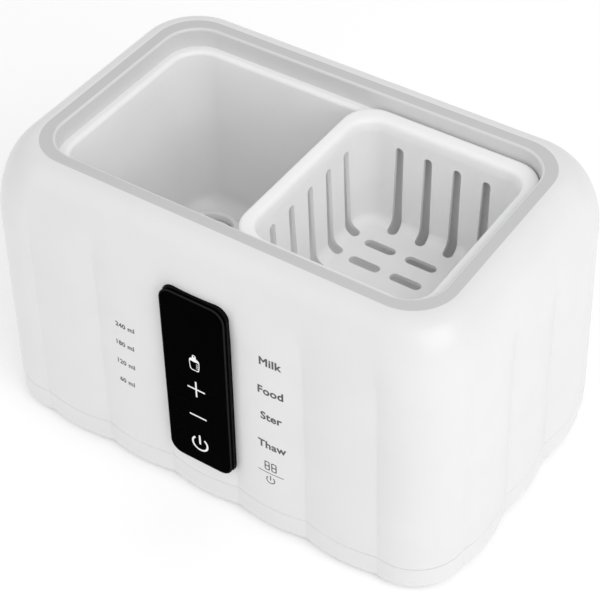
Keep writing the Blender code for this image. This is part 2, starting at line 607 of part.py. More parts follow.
def build_panel():
    """Front glass, bezel, light guide, touch board, its four key springs and its ribbon."""
    upright = (math.pi / 2.0, 0.0, 0.0)

    def panel_piece(obj, material, depth, x=0.0, z=0.0):
        """Place a flat piece with its rear face at a depth behind the front of the glass."""
        return finish(obj, material, PANEL, (x, depth, z), upright)

    glass = prism("control_glass", rounded_outline(PANEL_W / 2, PANEL_H / 2, PANEL_R, 6), GLASS_T)
    panel_piece(soften(glass, 0.0005), GLASS, GLASS_T)

    bezel_rear = GLASS_T + GAP + BEZEL_T
    board_front = bezel_rear + 0.0030
    bezel = prism("panel_bezel", rounded_outline(PANEL_W / 2, PANEL_H / 2, PANEL_R, 6), BEZEL_T)
    opening = prism("bezel_opening", rounded_outline(0.0118, 0.0430, 0.003, 3), 0.0100)
    legs = [tool(rod(f"bezel_leg_{i}", 0.0012, -(board_front - bezel_rear - GAP), 0.0010, 8), bezel,
                 (x, z, 0.0)) for i, (x, z) in enumerate(corners(0.0123, 0.0437))]
    combine(bezel, legs, "UNION")
    combine(bezel, [tool(opening, bezel, (0.0, 0.0, -0.002))], "DIFFERENCE")
    panel_piece(bezel, BLACK, bezel_rear)

    guide = prism("light_guide", rounded_outline(0.0100, 0.0120, 0.001, 2), 0.0040)
    panel_piece(guide, DIFFUSER, GLASS_T + GAP + 0.0040, 0.0, 0.0290)
    board = prism("touch_board", rounded_outline(0.0134, 0.0448, 0.002, 2), 0.0012)
    panel_piece(board, BOARD, board_front + 0.0012)
    length = board_front - GLASS_T - 2.0 * GAP
    for index, height in enumerate(KEY_HEIGHTS):
        spring = [(0.0032, length), (0.0032, 0.0), (0.0024, 0.0), (0.0024, length)]
        piece = turned(f"touch_spring_{index + 1}", spring, 8, closed_on_axis=False)
        panel_piece(piece, STEEL, board_front - GAP, 0.0, height)

    board_y = PANEL_FRONT_Y + board_front + 0.0012
    path = [(board_y + 0.0012, 0.0420), (board_y + 0.0030, 0.0330), (-0.0640, 0.0265), (-0.0585, 0.0245),
            (-0.0555, 0.0215), (-0.0550, PARTS_Z + 0.0070 + GAP)]
    thick = 0.0003
    outline = [(y - thick, z) for y, z in path] + [(y + thick, z) for y, z in reversed(path)]
    ribbon = prism("panel_ribbon", outline, 0.0100)
    ribbon.data.transform(Matrix(((0, 0, 1, 0), (1, 0, 0, 0), (0, 1, 0, 0), (0, 0, 0, 1))))
    finish(ribbon, RIBBON, ROOT, (-0.0050 + PANEL_X, 0.0, 0.0))


# ---------------------------------------------------------------- base and feet

def build_base():
    """The scalloped base tray with its screw posts, board posts, vents and foot recesses."""
    top = SEAM_Z - GAP / 2.0
    levels = [(0.0, top)]
    for angle in arc_steps(4):
        levels.append((BASE_ROLL * (1.0 - math.cos(angle)),
                       BASE_BOTTOM_Z + BASE_ROLL * (1.0 - math.sin(angle))))
    outside = wall_offset(SEAM_Z)
    rings = [[(x, y, z) for x, y in lobed_outline(outside - inset, WALL_R - inset, LOBE_DEPTH)]
             for inset, z in levels]
    base = thicken(loft("base_cover", rings[::-1], close_start=True), SKIN)

    added, cuts = [], []
    for index, (x, y) in enumerate(corners(*BASE_SCREW_XY)):
        post = rod(f"base_post_{index}", 0.0056, BASE_BOTTOM_Z + 0.0010, SEAM_Z + 0.0004)
        bore = rod(f"base_bore_{index}", 0.0040, 0.0, SCREW_WELL_Z, 12)
        through = rod(f"base_through_{index}", 0.0019, 0.0100, SEAM_Z + 0.0050, 10)
        added.append(tool(post, ROOT, (x, y, 0.0)))
        cuts += [tool(bore, ROOT, (x, y, 0.0)), tool(through, ROOT, (x, y, 0.0))]
    for index, (x, y) in enumerate(corners(*BOARD_SCREW)):
        post = rod(f"board_post_{index}", 0.0030, BASE_BOTTOM_Z + 0.0010, BOARD_Z - GAP, 12)
        pilot = rod(f"board_pilot_{index}", 0.0013, BASE_BOTTOM_Z + SKIN + 0.0006, BOARD_Z + 0.004, 8)
        added.append(tool(post, ROOT, (x, BOARD_Y + y, 0.0)))
        cuts.append(tool(pilot, ROOT, (x, BOARD_Y + y, 0.0)))
    for index, (x, y) in enumerate(corners(*FOOT_XY)):
        recess = rod(f"foot_recess_{index}", FOOT_R + GAP, 0.0, BASE_BOTTOM_Z + 0.0010, 16)
        cuts.append(tool(recess, ROOT, (x, y, 0.0)))
    for index in range(8):
        vent = prism(f"vent_{index}", stadium(0.0150, 0.0015), 0.0060)
        x = -0.0500 if index < 4 else 0.0500
        cuts.append(tool(vent, ROOT, (x, 0.0140 + 0.0080 * (index % 4), 0.0)))
    combine(base, added, "UNION")
    combine(base, cuts, "DIFFERENCE")
    finish(base, SHELL)

    foot = [(0.0, BASE_BOTTOM_Z + 0.0010 - GAP), (FOOT_R, BASE_BOTTOM_Z + 0.0010 - GAP),
            (FOOT_R, 0.0006), (FOOT_R - 0.0006, 0.0), (0.0, 0.0)]
    for index, (x, y) in enumerate(corners(*FOOT_XY)):
        finish(turned(f"foot_{index + 1}", foot, 16), RUBBER, ROOT, (x, y, 0.0))
    for index, (x, y) in enumerate(corners(*BASE_SCREW_XY)):
        screw = turned(f"base_screw_{index + 1}", screw_profile(0.0034, 0.0020, 0.0014, 0.0160), 8)
        finish(screw, STEEL, ROOT, (x, y, SCREW_WELL_Z - GAP))


# ---------------------------------------------------------------- electronics

def build_electronics():
    """Main board with its screws, relay, transformer, capacitor and plug blocks."""
    board = prism("main_board", rounded_outline(BOARD_SIZE[0] / 2, BOARD_SIZE[1] / 2, 0.002, 2),
                  BOARD_SIZE[2])
    cuts = [tool(rod(f"board_hole_{i}", 0.0014, -0.002, 0.004, 10), board, (x, y, 0.0))
            for i, (x, y) in enumerate(corners(*BOARD_SCREW))]
    combine(board, cuts, "DIFFERENCE")
    finish(board, BOARD, ROOT, (0.0, BOARD_Y, BOARD_Z))
    for index, (x, y) in enumerate(corners(*BOARD_SCREW)):
        profile = [(r, -z) for r, z in reversed(screw_profile(0.0023, 0.0014, 0.0010, 0.0050))]
        screw = turned(f"board_screw_{index + 1}", profile, 8)
        finish(screw, STEEL, ROOT, (x, BOARD_Y + y, PARTS_Z))

    def block(name, material, size, x, y):
        """A component standing on the board."""
        piece = soften(box(name, size, (0.0, 0.0, size[2] / 2.0)), 0.0006)
        finish(piece, material, ROOT, (x, y, PARTS_Z))

    block("relay", DARK, (0.0190, 0.0155, 0.0155), -0.0330, -0.0520)
    block("transformer", NYLON, (0.0220, 0.0180, 0.0165), 0.0270, -0.0480)
    block("mains_terminal", NYLON, (0.0160, 0.0080, 0.0100), 0.0, -0.0210)
    block("heater_terminal", NYLON, (0.0160, 0.0080, 0.0100), 0.0270, -0.0250)
    block("sensor_plug", NYLON, (0.0080, 0.0060, 0.0070), -0.0400, -0.0260)
    block("ribbon_plug", NYLON, (0.0140, 0.0050, 0.0070), PANEL_X, -0.0550)
    can = [(0.0, 0.0170), (0.0045, 0.0170), (0.0050, 0.0165), (0.0050, 0.0), (0.0, 0.0)]
    finish(turned("capacitor", can, 16), DARK, ROOT, (0.0440, -0.0400, PARTS_Z))


def build_inlet():
    """The two-pin mains inlet in the rear wall."""
    flange = (0.0260, 0.0020, 0.0160)
    body_depth = 0.0180
    inlet = box("power_inlet", flange, (0.0, -flange[1] / 2.0, 0.0))
    body = box("inlet_body", (0.0210, body_depth, 0.0110), (0.0, -body_depth / 2.0 - 0.0005, 0.0))
    lobes = [tool(rod(f"socket_lobe_{side}", 0.0044, -0.0010, 0.0130, 16), inlet,
                  (side * PIN_X, 0.0, 0.0), (math.pi / 2.0, 0.0, 0.0)) for side in (-1, 1)]
    waist = tool(box("socket_waist", (0.0086, 0.0140, 0.0060), (0.0, -0.0060, 0.0)), inlet)
    bores = [tool(rod(f"pin_bore_{side}", 0.0015, 0.0050, 0.0300, 10), inlet,
                  (side * PIN_X, 0.0, 0.0), (math.pi / 2.0, 0.0, 0.0)) for side in (-1, 1)]
    combine(inlet, [tool(body, inlet)], "UNION")
    combine(inlet, [*lobes, waist, *bores], "DIFFERENCE")
    finish(inlet, DARK, ROOT, (0.0, INLET_FACE_Y, INLET_Z))
    for index, side in enumerate((-1, 1)):
        pin = [(0.0, 0.0), (0.0008, 0.0), (0.0012, -0.0010), (0.0012, -PIN_LENGTH),
               (0.0, -PIN_LENGTH)]
        piece = turned(f"inlet_pin_{index + 1}", pin, 12)
        finish(piece, BRASS, ROOT, (side * PIN_X, INLET_FACE_Y - PIN_SETBACK, INLET_Z),
               (-math.pi / 2.0, 0.0, 0.0))


def lead(name, points, radius=0.0011):
    """One insulated wire along a smooth route."""
    smooth = []
    for i in range(len(points) - 1):
        p0, p1 = Vector(points[max(i - 1, 0)]), Vector(points[i])
        p2, p3 = Vector(points[i + 1]), Vector(points[min(i + 2, len(points) - 1)])
        for step in range(3):
            t = step / 3.0
            smooth.append(0.5 * (2 * p1 + (p2 - p0) * t + (2 * p0 - 5 * p1 + 4 * p2 - p3) * t * t
                                 + (3 * p1 - p0 - 3 * p2 + p3) * t ** 3))
    smooth.append(Vector(points[-1]))
    curve = bpy.data.curves.new(name, "CURVE")
    curve.dimensions = "3D"
    curve.bevel_depth = radius
    curve.bevel_resolution = 2
    curve.use_fill_caps = True
    spline = curve.splines.new("POLY")
    spline.points.add(len(smooth) - 1)
    for point, place in zip(spline.points, smooth):
        point.co = (*place, 1.0)
    finish(curve_to_mesh(name, curve, Matrix.Identity(4)), WIRE)


def build_leads():
    """The short wires between inlet, heaters, sensor and board."""
    tail = INLET_FACE_Y - PIN_SETBACK - PIN_LENGTH - LEAD_GAP
    block_top = PARTS_Z + 0.0100 + LEAD_GAP
    for index, side in enumerate((-1, 1)):
        x = side * PIN_X
        lead(f"mains_lead_{index + 1}",
             [(x, tail, INLET_Z), (x, tail - 0.008, INLET_Z - 0.001), (x, 0.038, 0.021),
              (x, 0.015, 0.0175), (x, -0.005, 0.0190), (x, -0.016, 0.0265), (x, -0.0205, 0.0255),
              (x, -0.0210, block_top)])
    for name, side in (("heater_lead_left", -1), ("heater_lead_right", 1)):
        end = 0.0270 + side * 0.0040
        start = side * (HEATER_X - 0.004)
        lead(name, [(start, -HEATER_SIZE[1] / 2 - LEAD_GAP, 0.0340), (start, -0.0200, 0.0338),
                    ((start + end) / 2, -0.0290, 0.0300), (end, -0.0262, 0.0268), (end, -0.0250, block_top)])
    x, y = SENSOR_XY
    lead("sensor_lead", [(x, y, TANK_FLOOR_Z - 0.0105), (x, y, 0.0280), (x + 0.004, 0.0120, 0.0190),
                         (-0.0580, -0.0120, 0.0150), (-0.0520, -0.0240, 0.0145),
                         (-0.0440 - LEAD_GAP, -0.0260, 0.0145)], 0.0009)


build_housing()
build_tank()
build_rim_seal()
build_heater()
build_basket()
build_panel()
build_base()
build_electronics()
build_inlet()
build_leads()
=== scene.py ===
"""Double bottle warmer: finished surfaces, finishes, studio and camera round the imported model.

Metres, +Z up, the front with the control panel towards -Y.
"""

import logging
import math
from dataclasses import dataclass
from enum import Enum
from typing import NamedTuple

import bmesh
import bpy
from mathutils import Matrix, Vector


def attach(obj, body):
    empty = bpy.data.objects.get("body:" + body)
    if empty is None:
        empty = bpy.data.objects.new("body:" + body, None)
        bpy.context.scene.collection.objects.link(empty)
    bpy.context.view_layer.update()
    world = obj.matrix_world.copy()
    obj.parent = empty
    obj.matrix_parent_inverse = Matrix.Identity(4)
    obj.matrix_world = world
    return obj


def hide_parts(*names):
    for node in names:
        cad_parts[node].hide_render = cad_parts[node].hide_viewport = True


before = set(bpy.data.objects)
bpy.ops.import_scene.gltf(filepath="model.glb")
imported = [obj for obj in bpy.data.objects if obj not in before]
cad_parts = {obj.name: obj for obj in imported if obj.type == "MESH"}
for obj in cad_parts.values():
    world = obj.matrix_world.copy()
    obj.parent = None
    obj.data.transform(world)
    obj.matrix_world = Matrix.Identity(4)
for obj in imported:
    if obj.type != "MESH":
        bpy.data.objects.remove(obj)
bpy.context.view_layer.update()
LOG = logging.getLogger("bottle_warmer")

Colour = tuple[float, float, float]
Point2 = tuple[float, float]
Outline = list[Point2]

GAP = 0.0003                # clearance between touching pieces
SEAM_LINE = 0.00004         # half of the hairline between housing and base
SEAM_BREAK = 0.00012        # how far their meeting edges are rounded off
MERGE = 0.000005            # merge distance for closing shapes
SHIFT_Y = 0.0003            # how far back the middle of the warmer stands
LEDGE_Z = 0.1337            # top of the tank's ledge
OVERCUT = 0.0010            # how far a cutting solid stands clear of what it cuts
CREASE = math.radians(32.0)  # edges sharper than this stay crisp
GROOVE_CREASE = math.radians(15.0)  # the same on the lobed pieces, whose grooves are shallow
LETTER_SPACE = 1.04         # spacing of the lettering, as a share of the typeface's own


class Body(Enum):
    """The moving bodies of the warmer."""

    WARMER = "warmer"
    BASKET = "basket"


class Slot(Enum):
    """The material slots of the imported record."""

    SHELL = "shell"
    TANK = "tank"
    BASKET = "basket"
    GLASS = "panel_glass"
    BLACK = "panel_black"
    DIFFUSER = "diffuser"
    RUBBER = "rubber"
    SILICONE = "silicone"
    STEEL = "steel"
    ALLOY = "alloy"
    BRASS = "brass"
    BOARD = "board"
    NYLON = "nylon"
    DARK = "dark_plastic"
    WIRE = "wire"
    RIBBON = "ribbon"


# ---------------------------------------------------------------- node helpers

class NodeBench:
    """Adds and joins the nodes of one tree."""

    def __init__(self, tree: bpy.types.NodeTree) -> None:
        """Keep the tree to work on."""
        self.tree = tree

    def add(self, kind: str, inputs: dict | None = None, **settings: object) -> bpy.types.Node:
        """Add a node.

        Args:
            kind: The node's type name.
            inputs: Input names or indices, each with a plain value or a socket to link from.
            **settings: Properties of the node itself.

        Returns:
            The new node.
        """
        node = self.tree.nodes.new(kind)
        for key, value in settings.items():
            setattr(node, key, value)
        for key, value in (inputs or {}).items():
            if isinstance(value, bpy.types.NodeSocket):
                self.tree.links.new(value, node.inputs[key])
            else:
                node.inputs[key].default_value = value
        return node

    def math(self, operation: str, first: object, second: object = 0.0) -> bpy.types.NodeSocket:
        """Add a Math node of two operands and return its result."""
        return self.add("ShaderNodeMath", {0: first, 1: second}, operation=operation).outputs[0]

    def vector_math(self, operation: str, first: object, second: object) -> bpy.types.NodeSocket:
        """Add a Vector Math node of two vectors and return its vector."""
        node = self.add("ShaderNodeVectorMath", {0: first, 1: second}, operation=operation)
        return node.outputs["Vector"]

    def scaled(self, vector: object, factor: object) -> bpy.types.NodeSocket:
        """Return a vector times a number."""
        node = self.add("ShaderNodeVectorMath", {0: vector, "Scale": factor}, operation="SCALE")
        return node.outputs["Vector"]

    def mix(self, factor: object, low: Colour, high: Colour) -> bpy.types.NodeSocket:
        """Mix two colours.

        Args:
            factor: 0 for the low colour, 1 for the high one.
            low: A colour, or a socket to read it from.
            high: A colour, or a socket to read it from.

        Returns:
            The mixed colour's socket.
        """
        ends = [(*end, 1.0) if isinstance(end, tuple) else end for end in (low, high)]
        node = self.add("ShaderNodeMix", {0: factor, 6: ends[0], 7: ends[1]}, data_type="RGBA")
        return node.outputs[2]

    def ranged(self, value: object, low: float, high: float, to_low: float,
               to_high: float, smooth: bool = False) -> bpy.types.NodeSocket:
        """Map a value from one range to another.

        Args:
            value: The socket to map.
            low: Start of the input range.
            high: End of the input range.
            to_low: Result at the start.
            to_high: Result at the end.
            smooth: Ease in and out between the two ends.

        Returns:
            The mapped value's socket.
        """
        kind = "SMOOTHSTEP" if smooth else "LINEAR"
        inputs = {"Value": value, "From Min": low, "From Max": high,
                  "To Min": to_low, "To Max": to_high}
        return self.add("ShaderNodeMapRange", inputs, interpolation_type=kind).outputs["Result"]


class GeometryTree:
    """One Geometry Nodes group with named inputs, ended by Realize Instances and Set Material."""

    def __init__(self, name: str) -> None:
        """Start the group with its geometry sockets.

        Args:
            name: The group's name.
        """
        self.group = bpy.data.node_groups.new(name, "GeometryNodeTree")
        self.group.is_modifier = True
        self.bench = NodeBench(self.group)
        for flow in ("INPUT", "OUTPUT"):
            self.group.interface.new_socket("Geometry", in_out=flow,
                                            socket_type="NodeSocketGeometry")
        self.source = self.bench.add("NodeGroupInput")
        self.sink = self.bench.add("NodeGroupOutput")

    def named(self, name: str, kind: str, default: object = None) -> bpy.types.NodeSocket:
        """Add a named input.

        Args:
            name: The input's name.
            kind: Float, Int, Vector or Material.
            default: The value that it starts from.

        Returns:
            The socket to read it from.
        """
        socket = self.group.interface.new_socket(name, in_out="INPUT",
                                                 socket_type=f"NodeSocket{kind}")
        if default is not None:
            socket.default_value = default
        return self.source.outputs[name]

    def close(self, geometry: bpy.types.NodeSocket) -> bpy.types.NodeTree:
        """Realize the geometry and give it its finish.

        Args:
            geometry: The socket of the finished shape.

        Returns:
            The group.
        """
        real = self.bench.add("GeometryNodeRealizeInstances", {"Geometry": geometry})
        dressed = self.bench.add("GeometryNodeSetMaterial", {
            "Geometry": real.outputs["Geometry"], "Material": self.named("Finish", "Material")})
        self.group.links.new(dressed.outputs["Geometry"], self.sink.inputs["Geometry"])
        return self.group


def lattice_tree() -> bpy.types.NodeTree:
    """Build the tree that repeats a shape in columns and rows about its own centre.

    Returns:
        The tree, with its counts and steps as inputs.
    """
    rounding = 0.01         # keeps a whole index above its own rounding
    tree = GeometryTree("lattice")
    bench = tree.bench
    columns = tree.named("Columns", "Int", 1)
    rows = tree.named("Rows", "Int", 1)
    column_step = tree.named("Column Step", "Vector")
    row_step = tree.named("Row Step", "Vector")
    index = bench.add("GeometryNodeInputIndex").outputs[0]
    column = bench.math("MODULO", index, columns)
    row = bench.math("FLOOR", bench.math("DIVIDE", bench.math("ADD", index, rounding), columns))
    half_column = bench.math("MULTIPLY", bench.math("SUBTRACT", columns, 1.0), 0.5)
    half_row = bench.math("MULTIPLY", bench.math("SUBTRACT", rows, 1.0), 0.5)
    along = bench.scaled(column_step, bench.math("SUBTRACT", column, half_column))
    across = bench.scaled(row_step, bench.math("SUBTRACT", row, half_row))
    place = bench.vector_math("ADD", along, across)
    count = bench.math("MULTIPLY", columns, rows)
    points = bench.add("GeometryNodePoints", {"Count": count, "Position": place})
    copies = bench.add("GeometryNodeInstanceOnPoints", {
        "Points": points.outputs[0], "Instance": tree.source.outputs["Geometry"]})
    return tree.close(copies.outputs["Instances"])


def scallop_tree() -> bpy.types.NodeTree:
    """Build the tree that presses the grooves between the lobes into a plain wall.

    Returns:
        The tree, with the grooves' depth and the fade below the rim as inputs.
    """
    tree = GeometryTree("scallops")
    bench = tree.bench
    depth = tree.named("Groove Depth", "Float", 0.0023)
    top = tree.named("Top Level", "Float", 0.143)
    start = tree.named("Fade Start", "Float", 0.006)
    length = tree.named("Fade Length", "Float", 0.036)
    across = bench.add("GeometryNodeInputNamedAttribute", {"Name": "lobe_place"},
                       data_type="FLOAT").outputs[0]
    outward = bench.add("GeometryNodeInputNamedAttribute", {"Name": "outward"},
                        data_type="FLOAT_VECTOR").outputs[0]
    position = bench.add("GeometryNodeInputPosition").outputs[0]
    level = bench.add("ShaderNodeSeparateXYZ", {0: position}).outputs["Z"]
    drop = bench.math("SUBTRACT", top, level)
    fade = bench.add("ShaderNodeMapRange", {
        "Value": drop, "From Min": start, "From Max": bench.math("ADD", start, length)},
        interpolation_type="SMOOTHSTEP").outputs["Result"]
    side = bench.math("SUBTRACT", bench.math("MULTIPLY", across, 2.0), 1.0)
    groove = bench.math("MULTIPLY", side, side)
    inward = bench.math("MULTIPLY", bench.math("MULTIPLY", groove, fade),
                        bench.math("MULTIPLY", depth, -1.0))
    moved = bench.add("GeometryNodeSetPosition", {
        "Geometry": tree.source.outputs["Geometry"], "Offset": bench.scaled(outward, inward)})
    return tree.close(moved.outputs["Geometry"])


def run_tree(obj: bpy.types.Object, group: bpy.types.NodeTree, values: dict) -> None:
    """Give an object a Geometry Nodes modifier.

    Args:
        obj: The object that the tree works on.
        group: The tree.
        values: Input names with their values.
    """
    modifier = obj.modifiers.new(group.name, "NODES")
    modifier.node_group = group
    for item in group.interface.items_tree:
        if item.item_type == "SOCKET" and item.in_out == "INPUT" and item.name in values:
            modifier[item.identifier] = values[item.name]


# ---------------------------------------------------------------- finishes

@dataclass(frozen=True)
class Finish:
    """A moulded surface: colour with a faint drift, uneven gloss and a fine grain.

    Attributes:
        name: The material's name.
        colour: Main colour, linear.
        shade: Colour that it drifts towards.
        roughness: Middle of the gloss.
        gloss_swing: How far the roughness strays either way.
        drift_scale: Patches of colour drift per metre.
        grain_scale: Grain marks per metre.
        grain_depth: Depth of the grain, in metres.
        ripple_depth: Depth of the long soft ripples that a mould leaves, in metres.
        metallic: 1 for bare metal.
        coat: Weight of a clear gloss layer.
        translucency: Weight of light passing under the surface.
        rub_ratio: Rub marks for each patch of colour drift.
        ripple_scale: Mould ripples per metre.
        coat_roughness: Roughness of the clear layer.
        bleed: How far red, green and blue light travel under the surface, in metres.
    """

    name: str
    colour: Colour
    shade: Colour
    roughness: float
    gloss_swing: float = 0.04
    drift_scale: float = 38.0
    grain_scale: float = 2600.0
    grain_depth: float = 0.00001
    ripple_depth: float = 0.0
    metallic: float = 0.0
    coat: float = 0.0
    translucency: float = 0.0
    rub_ratio: float = 2.3
    ripple_scale: float = 62.0
    coat_roughness: float = 0.08
    bleed: Colour = (0.0030, 0.0028, 0.0025)

    def place(self, bench: NodeBench) -> bpy.types.NodeSocket:
        """Return the coordinates that the patterns read."""
        return bench.add("ShaderNodeTexCoord").outputs["Object"]

    def noise(self, bench: NodeBench, place: bpy.types.NodeSocket, scale: float,
              detail: float = 3.0) -> bpy.types.NodeSocket:
        """Return a noise value over the surface."""
        inputs = {"Vector": place, "Scale": scale, "Detail": detail, "Roughness": 0.55}
        return bench.add("ShaderNodeTexNoise", inputs).outputs[0]

    def tint(self, bench: NodeBench, place: bpy.types.NodeSocket) -> bpy.types.NodeSocket:
        """Return the surface colour."""
        drift = bench.ranged(self.noise(bench, place, self.drift_scale), 0.35, 0.65, 0.0, 1.0)
        return bench.mix(drift, self.colour, self.shade)

    def gloss(self, bench: NodeBench, place: bpy.types.NodeSocket) -> bpy.types.NodeSocket:
        """Make an uneven gloss with fine rub marks.

        Args:
            bench: The nodes' bench.
            place: The coordinates that the marks read.

        Returns:
            The roughness's socket.
        """
        patches = self.noise(bench, place, self.drift_scale * self.rub_ratio, 5.0)
        low = max(self.roughness - self.gloss_swing, 0.02)
        return bench.ranged(patches, 0.3, 0.7, low, self.roughness + self.gloss_swing)

    def relief(self, bench: NodeBench, place: bpy.types.NodeSocket) -> bpy.types.NodeSocket:
        """Make the grain and the mould ripples.

        Args:
            bench: The nodes' bench.
            place: The coordinates that the grain reads.

        Returns:
            The surface normal's socket.
        """
        grain = self.noise(bench, place, self.grain_scale, 2.0)
        fine = bench.add("ShaderNodeBump", {
            "Height": grain, "Strength": 1.0, "Distance": self.grain_depth})
        if self.ripple_depth <= 0.0:
            return fine.outputs[0]
        ripple = self.noise(bench, place, self.ripple_scale, 1.0)
        slow = bench.add("ShaderNodeBump", {
            "Height": ripple, "Strength": 1.0, "Distance": self.ripple_depth,
            "Normal": fine.outputs[0]})
        return slow.outputs[0]

    def build(self) -> bpy.types.Material:
        """Make the material.

        Returns:
            The new material.
        """
        material = bpy.data.materials.new(self.name)
        material.use_nodes = True
        bench = NodeBench(material.node_tree)
        shader = material.node_tree.nodes["Principled BSDF"]
        place = self.place(bench)
        links = material.node_tree.links
        links.new(self.tint(bench, place), shader.inputs["Base Color"])
        links.new(self.gloss(bench, place), shader.inputs["Roughness"])
        links.new(self.relief(bench, place), shader.inputs["Normal"])
        shader.inputs["Metallic"].default_value = self.metallic
        shader.inputs["Coat Weight"].default_value = self.coat
        shader.inputs["Coat Roughness"].default_value = self.coat_roughness
        shader.inputs["Subsurface Weight"].default_value = self.translucency
        shader.inputs["Subsurface Radius"].default_value = self.bleed
        shader.inputs["Subsurface Scale"].default_value = 1.0
        self.dress(shader)
        material.diffuse_color = (*self.colour, 1.0)
        return material

    def dress(self, shader: bpy.types.Node) -> None:
        """Set what only this finish has on its shader."""


@dataclass(frozen=True)
class ShellFinish(Finish):
    """Glossy housing plastic, with painted shade: a greyer colour on the flat band round the
    opening, and part of it on the rim's inner wall and lip.
    """

    # Painted shade: grey for the rim's flat band, which faces up and gets less light.
    painted_shade_colour: Colour = (0.55, 0.55, 0.55)
    band_roughness: float = 0.28

    def tint(self, bench: NodeBench, place: bpy.types.NodeSocket) -> bpy.types.NodeSocket:
        """Return the shell colour, mixed towards the painted shade colour on the rim's flat band,
        inner wall and lip.
        """
        return bench.mix(self.band(bench), super().tint(bench, place), self.painted_shade_colour)

    def gloss(self, bench: NodeBench, place: bpy.types.NodeSocket) -> bpy.types.NodeSocket:
        """Return the shell's roughness, with a satin rim."""
        rim = bench.math("MULTIPLY", self.band(bench), self.band_roughness)
        return bench.math("ADD", super().gloss(bench, place), rim)

    def band(self, bench: NodeBench) -> bpy.types.NodeSocket:
        """Return the strength of the rim's painted shade, from 0 to 1, which also makes the rim
        satin.
        """
        return bench.add("ShaderNodeAttribute", attribute_name="rim_painted_shade").outputs["Fac"]


@dataclass(frozen=True)
class GlassFinish(Finish):
    """Polished black glass with faint wipe marks.

    Attributes:
        reflection: Strength of the mirror image.
        ground_edge: Colour of the edge that is ground flat.
        wipe_scale: Wipe marks per metre.
        wipe_stretch: Share of that along Z, which makes the marks long.
        wipe_tilt: How far the marks lean.
    """

    reflection: float = 0.0025
    ground_edge: Colour = (0.018, 0.018, 0.018)
    wipe_scale: float = 130.0
    wipe_stretch: float = 0.18
    wipe_tilt: float = 0.35

    def tint(self, bench: NodeBench, place: bpy.types.NodeSocket) -> bpy.types.NodeSocket:
        """Return the glass colour, with a greyer ground edge."""
        edge = bench.add("ShaderNodeAttribute", attribute_name="ground_edge").outputs["Fac"]
        return bench.mix(edge, super().tint(bench, place), self.ground_edge)

    def gloss(self, bench: NodeBench, place: bpy.types.NodeSocket) -> bpy.types.NodeSocket:
        """Make a gloss with long soft wipe marks.

        Args:
            bench: The nodes' bench.
            place: The coordinates that the marks read.

        Returns:
            The roughness's socket.
        """
        stretched = bench.add("ShaderNodeMapping", {
            "Vector": place, "Scale": (1.0, 1.0, self.wipe_stretch),
            "Rotation": (0.0, self.wipe_tilt, 0.0)}).outputs[0]
        marks = self.noise(bench, stretched, self.wipe_scale, 5.0)
        return bench.ranged(marks, 0.42, 0.75, self.roughness, self.roughness + self.gloss_swing)

    def dress(self, shader: bpy.types.Node) -> None:
        """Darken the mirror image of the bright room, as the coated glass does."""
        shader.inputs["Specular IOR Level"].default_value = self.reflection


@dataclass(frozen=True)
class FloorFinish(Finish):
    """Pale studio floor, lit from within so that it stays almost white."""

    glow: float = 0.14

    def dress(self, shader: bpy.types.Node) -> None:
        """Let the floor give off a little light."""
        shader.inputs["Emission Color"].default_value = (1.0, 1.0, 1.0, 1.0)
        shader.inputs["Emission Strength"].default_value = self.glow


@dataclass(frozen=True)
class BrushedFinish(Finish):
    """Bare metal with fine drawn lines."""

    stretch: float = 0.04

    def relief(self, bench: NodeBench, place: bpy.types.NodeSocket) -> bpy.types.NodeSocket:
        """Draw lines along X.

        Args:
            bench: The nodes' bench.
            place: The coordinates that the lines read.

        Returns:
            The surface normal's socket.
        """
        drawn = bench.add("ShaderNodeMapping", {"Vector": place,
                                                "Scale": (self.stretch, 1.0, 1.0)})
        lines = self.noise(bench, drawn.outputs[0], self.grain_scale, 2.0)
        return bench.add("ShaderNodeBump", {
            "Height": lines, "Strength": 1.0, "Distance": self.grain_depth}).outputs[0]


@dataclass(frozen=True)
class BoardFinish(Finish):
    """Green circuit board with paler tracks and tinned pads."""

    track: Colour = (0.05, 0.26, 0.12)
    pad: Colour = (0.62, 0.60, 0.55)
    track_scale: float = 260.0
    track_width: float = 0.06
    pad_scale: float = 390.0
    pad_size: float = 0.20

    def tint(self, bench: NodeBench, place: bpy.types.NodeSocket) -> bpy.types.NodeSocket:
        """Lay tracks and pads over the lacquer.

        Args:
            bench: The nodes' bench.
            place: The coordinates that the tracks and pads read.

        Returns:
            The colour's socket.
        """
        lines = bench.add("ShaderNodeTexVoronoi", {"Vector": place, "Scale": self.track_scale},
                          distance="MANHATTAN", feature="DISTANCE_TO_EDGE").outputs["Distance"]
        tracks = bench.math("LESS_THAN", lines, self.track_width)
        dots = bench.add("ShaderNodeTexVoronoi", {"Vector": place, "Scale": self.pad_scale})
        pads = bench.math("LESS_THAN", dots.outputs["Distance"], self.pad_size)
        return bench.mix(pads, bench.mix(tracks, super().tint(bench, place), self.track), self.pad)


@dataclass(frozen=True)
class RibbonFinish(Finish):
    """Flat cable with a dark line between its cores."""

    core_pitch: float = 0.001

    def tint(self, bench: NodeBench, place: bpy.types.NodeSocket) -> bpy.types.NodeSocket:
        """Draw stripes along the cable.

        Args:
            bench: The nodes' bench.
            place: The coordinates that the stripes read.

        Returns:
            The colour's socket.
        """
        across = bench.add("ShaderNodeSeparateXYZ", {0: place}).outputs["X"]
        turns = bench.math("MULTIPLY", across, 2.0 * math.pi / self.core_pitch)
        wave = bench.math("SINE", turns)
        return bench.mix(bench.ranged(wave, 0.5, 0.9, 0.0, 1.0), self.colour, self.shade)


def white(level: float) -> Colour:
    """Return a neutral white at a linear level."""
    return (level, level, level)


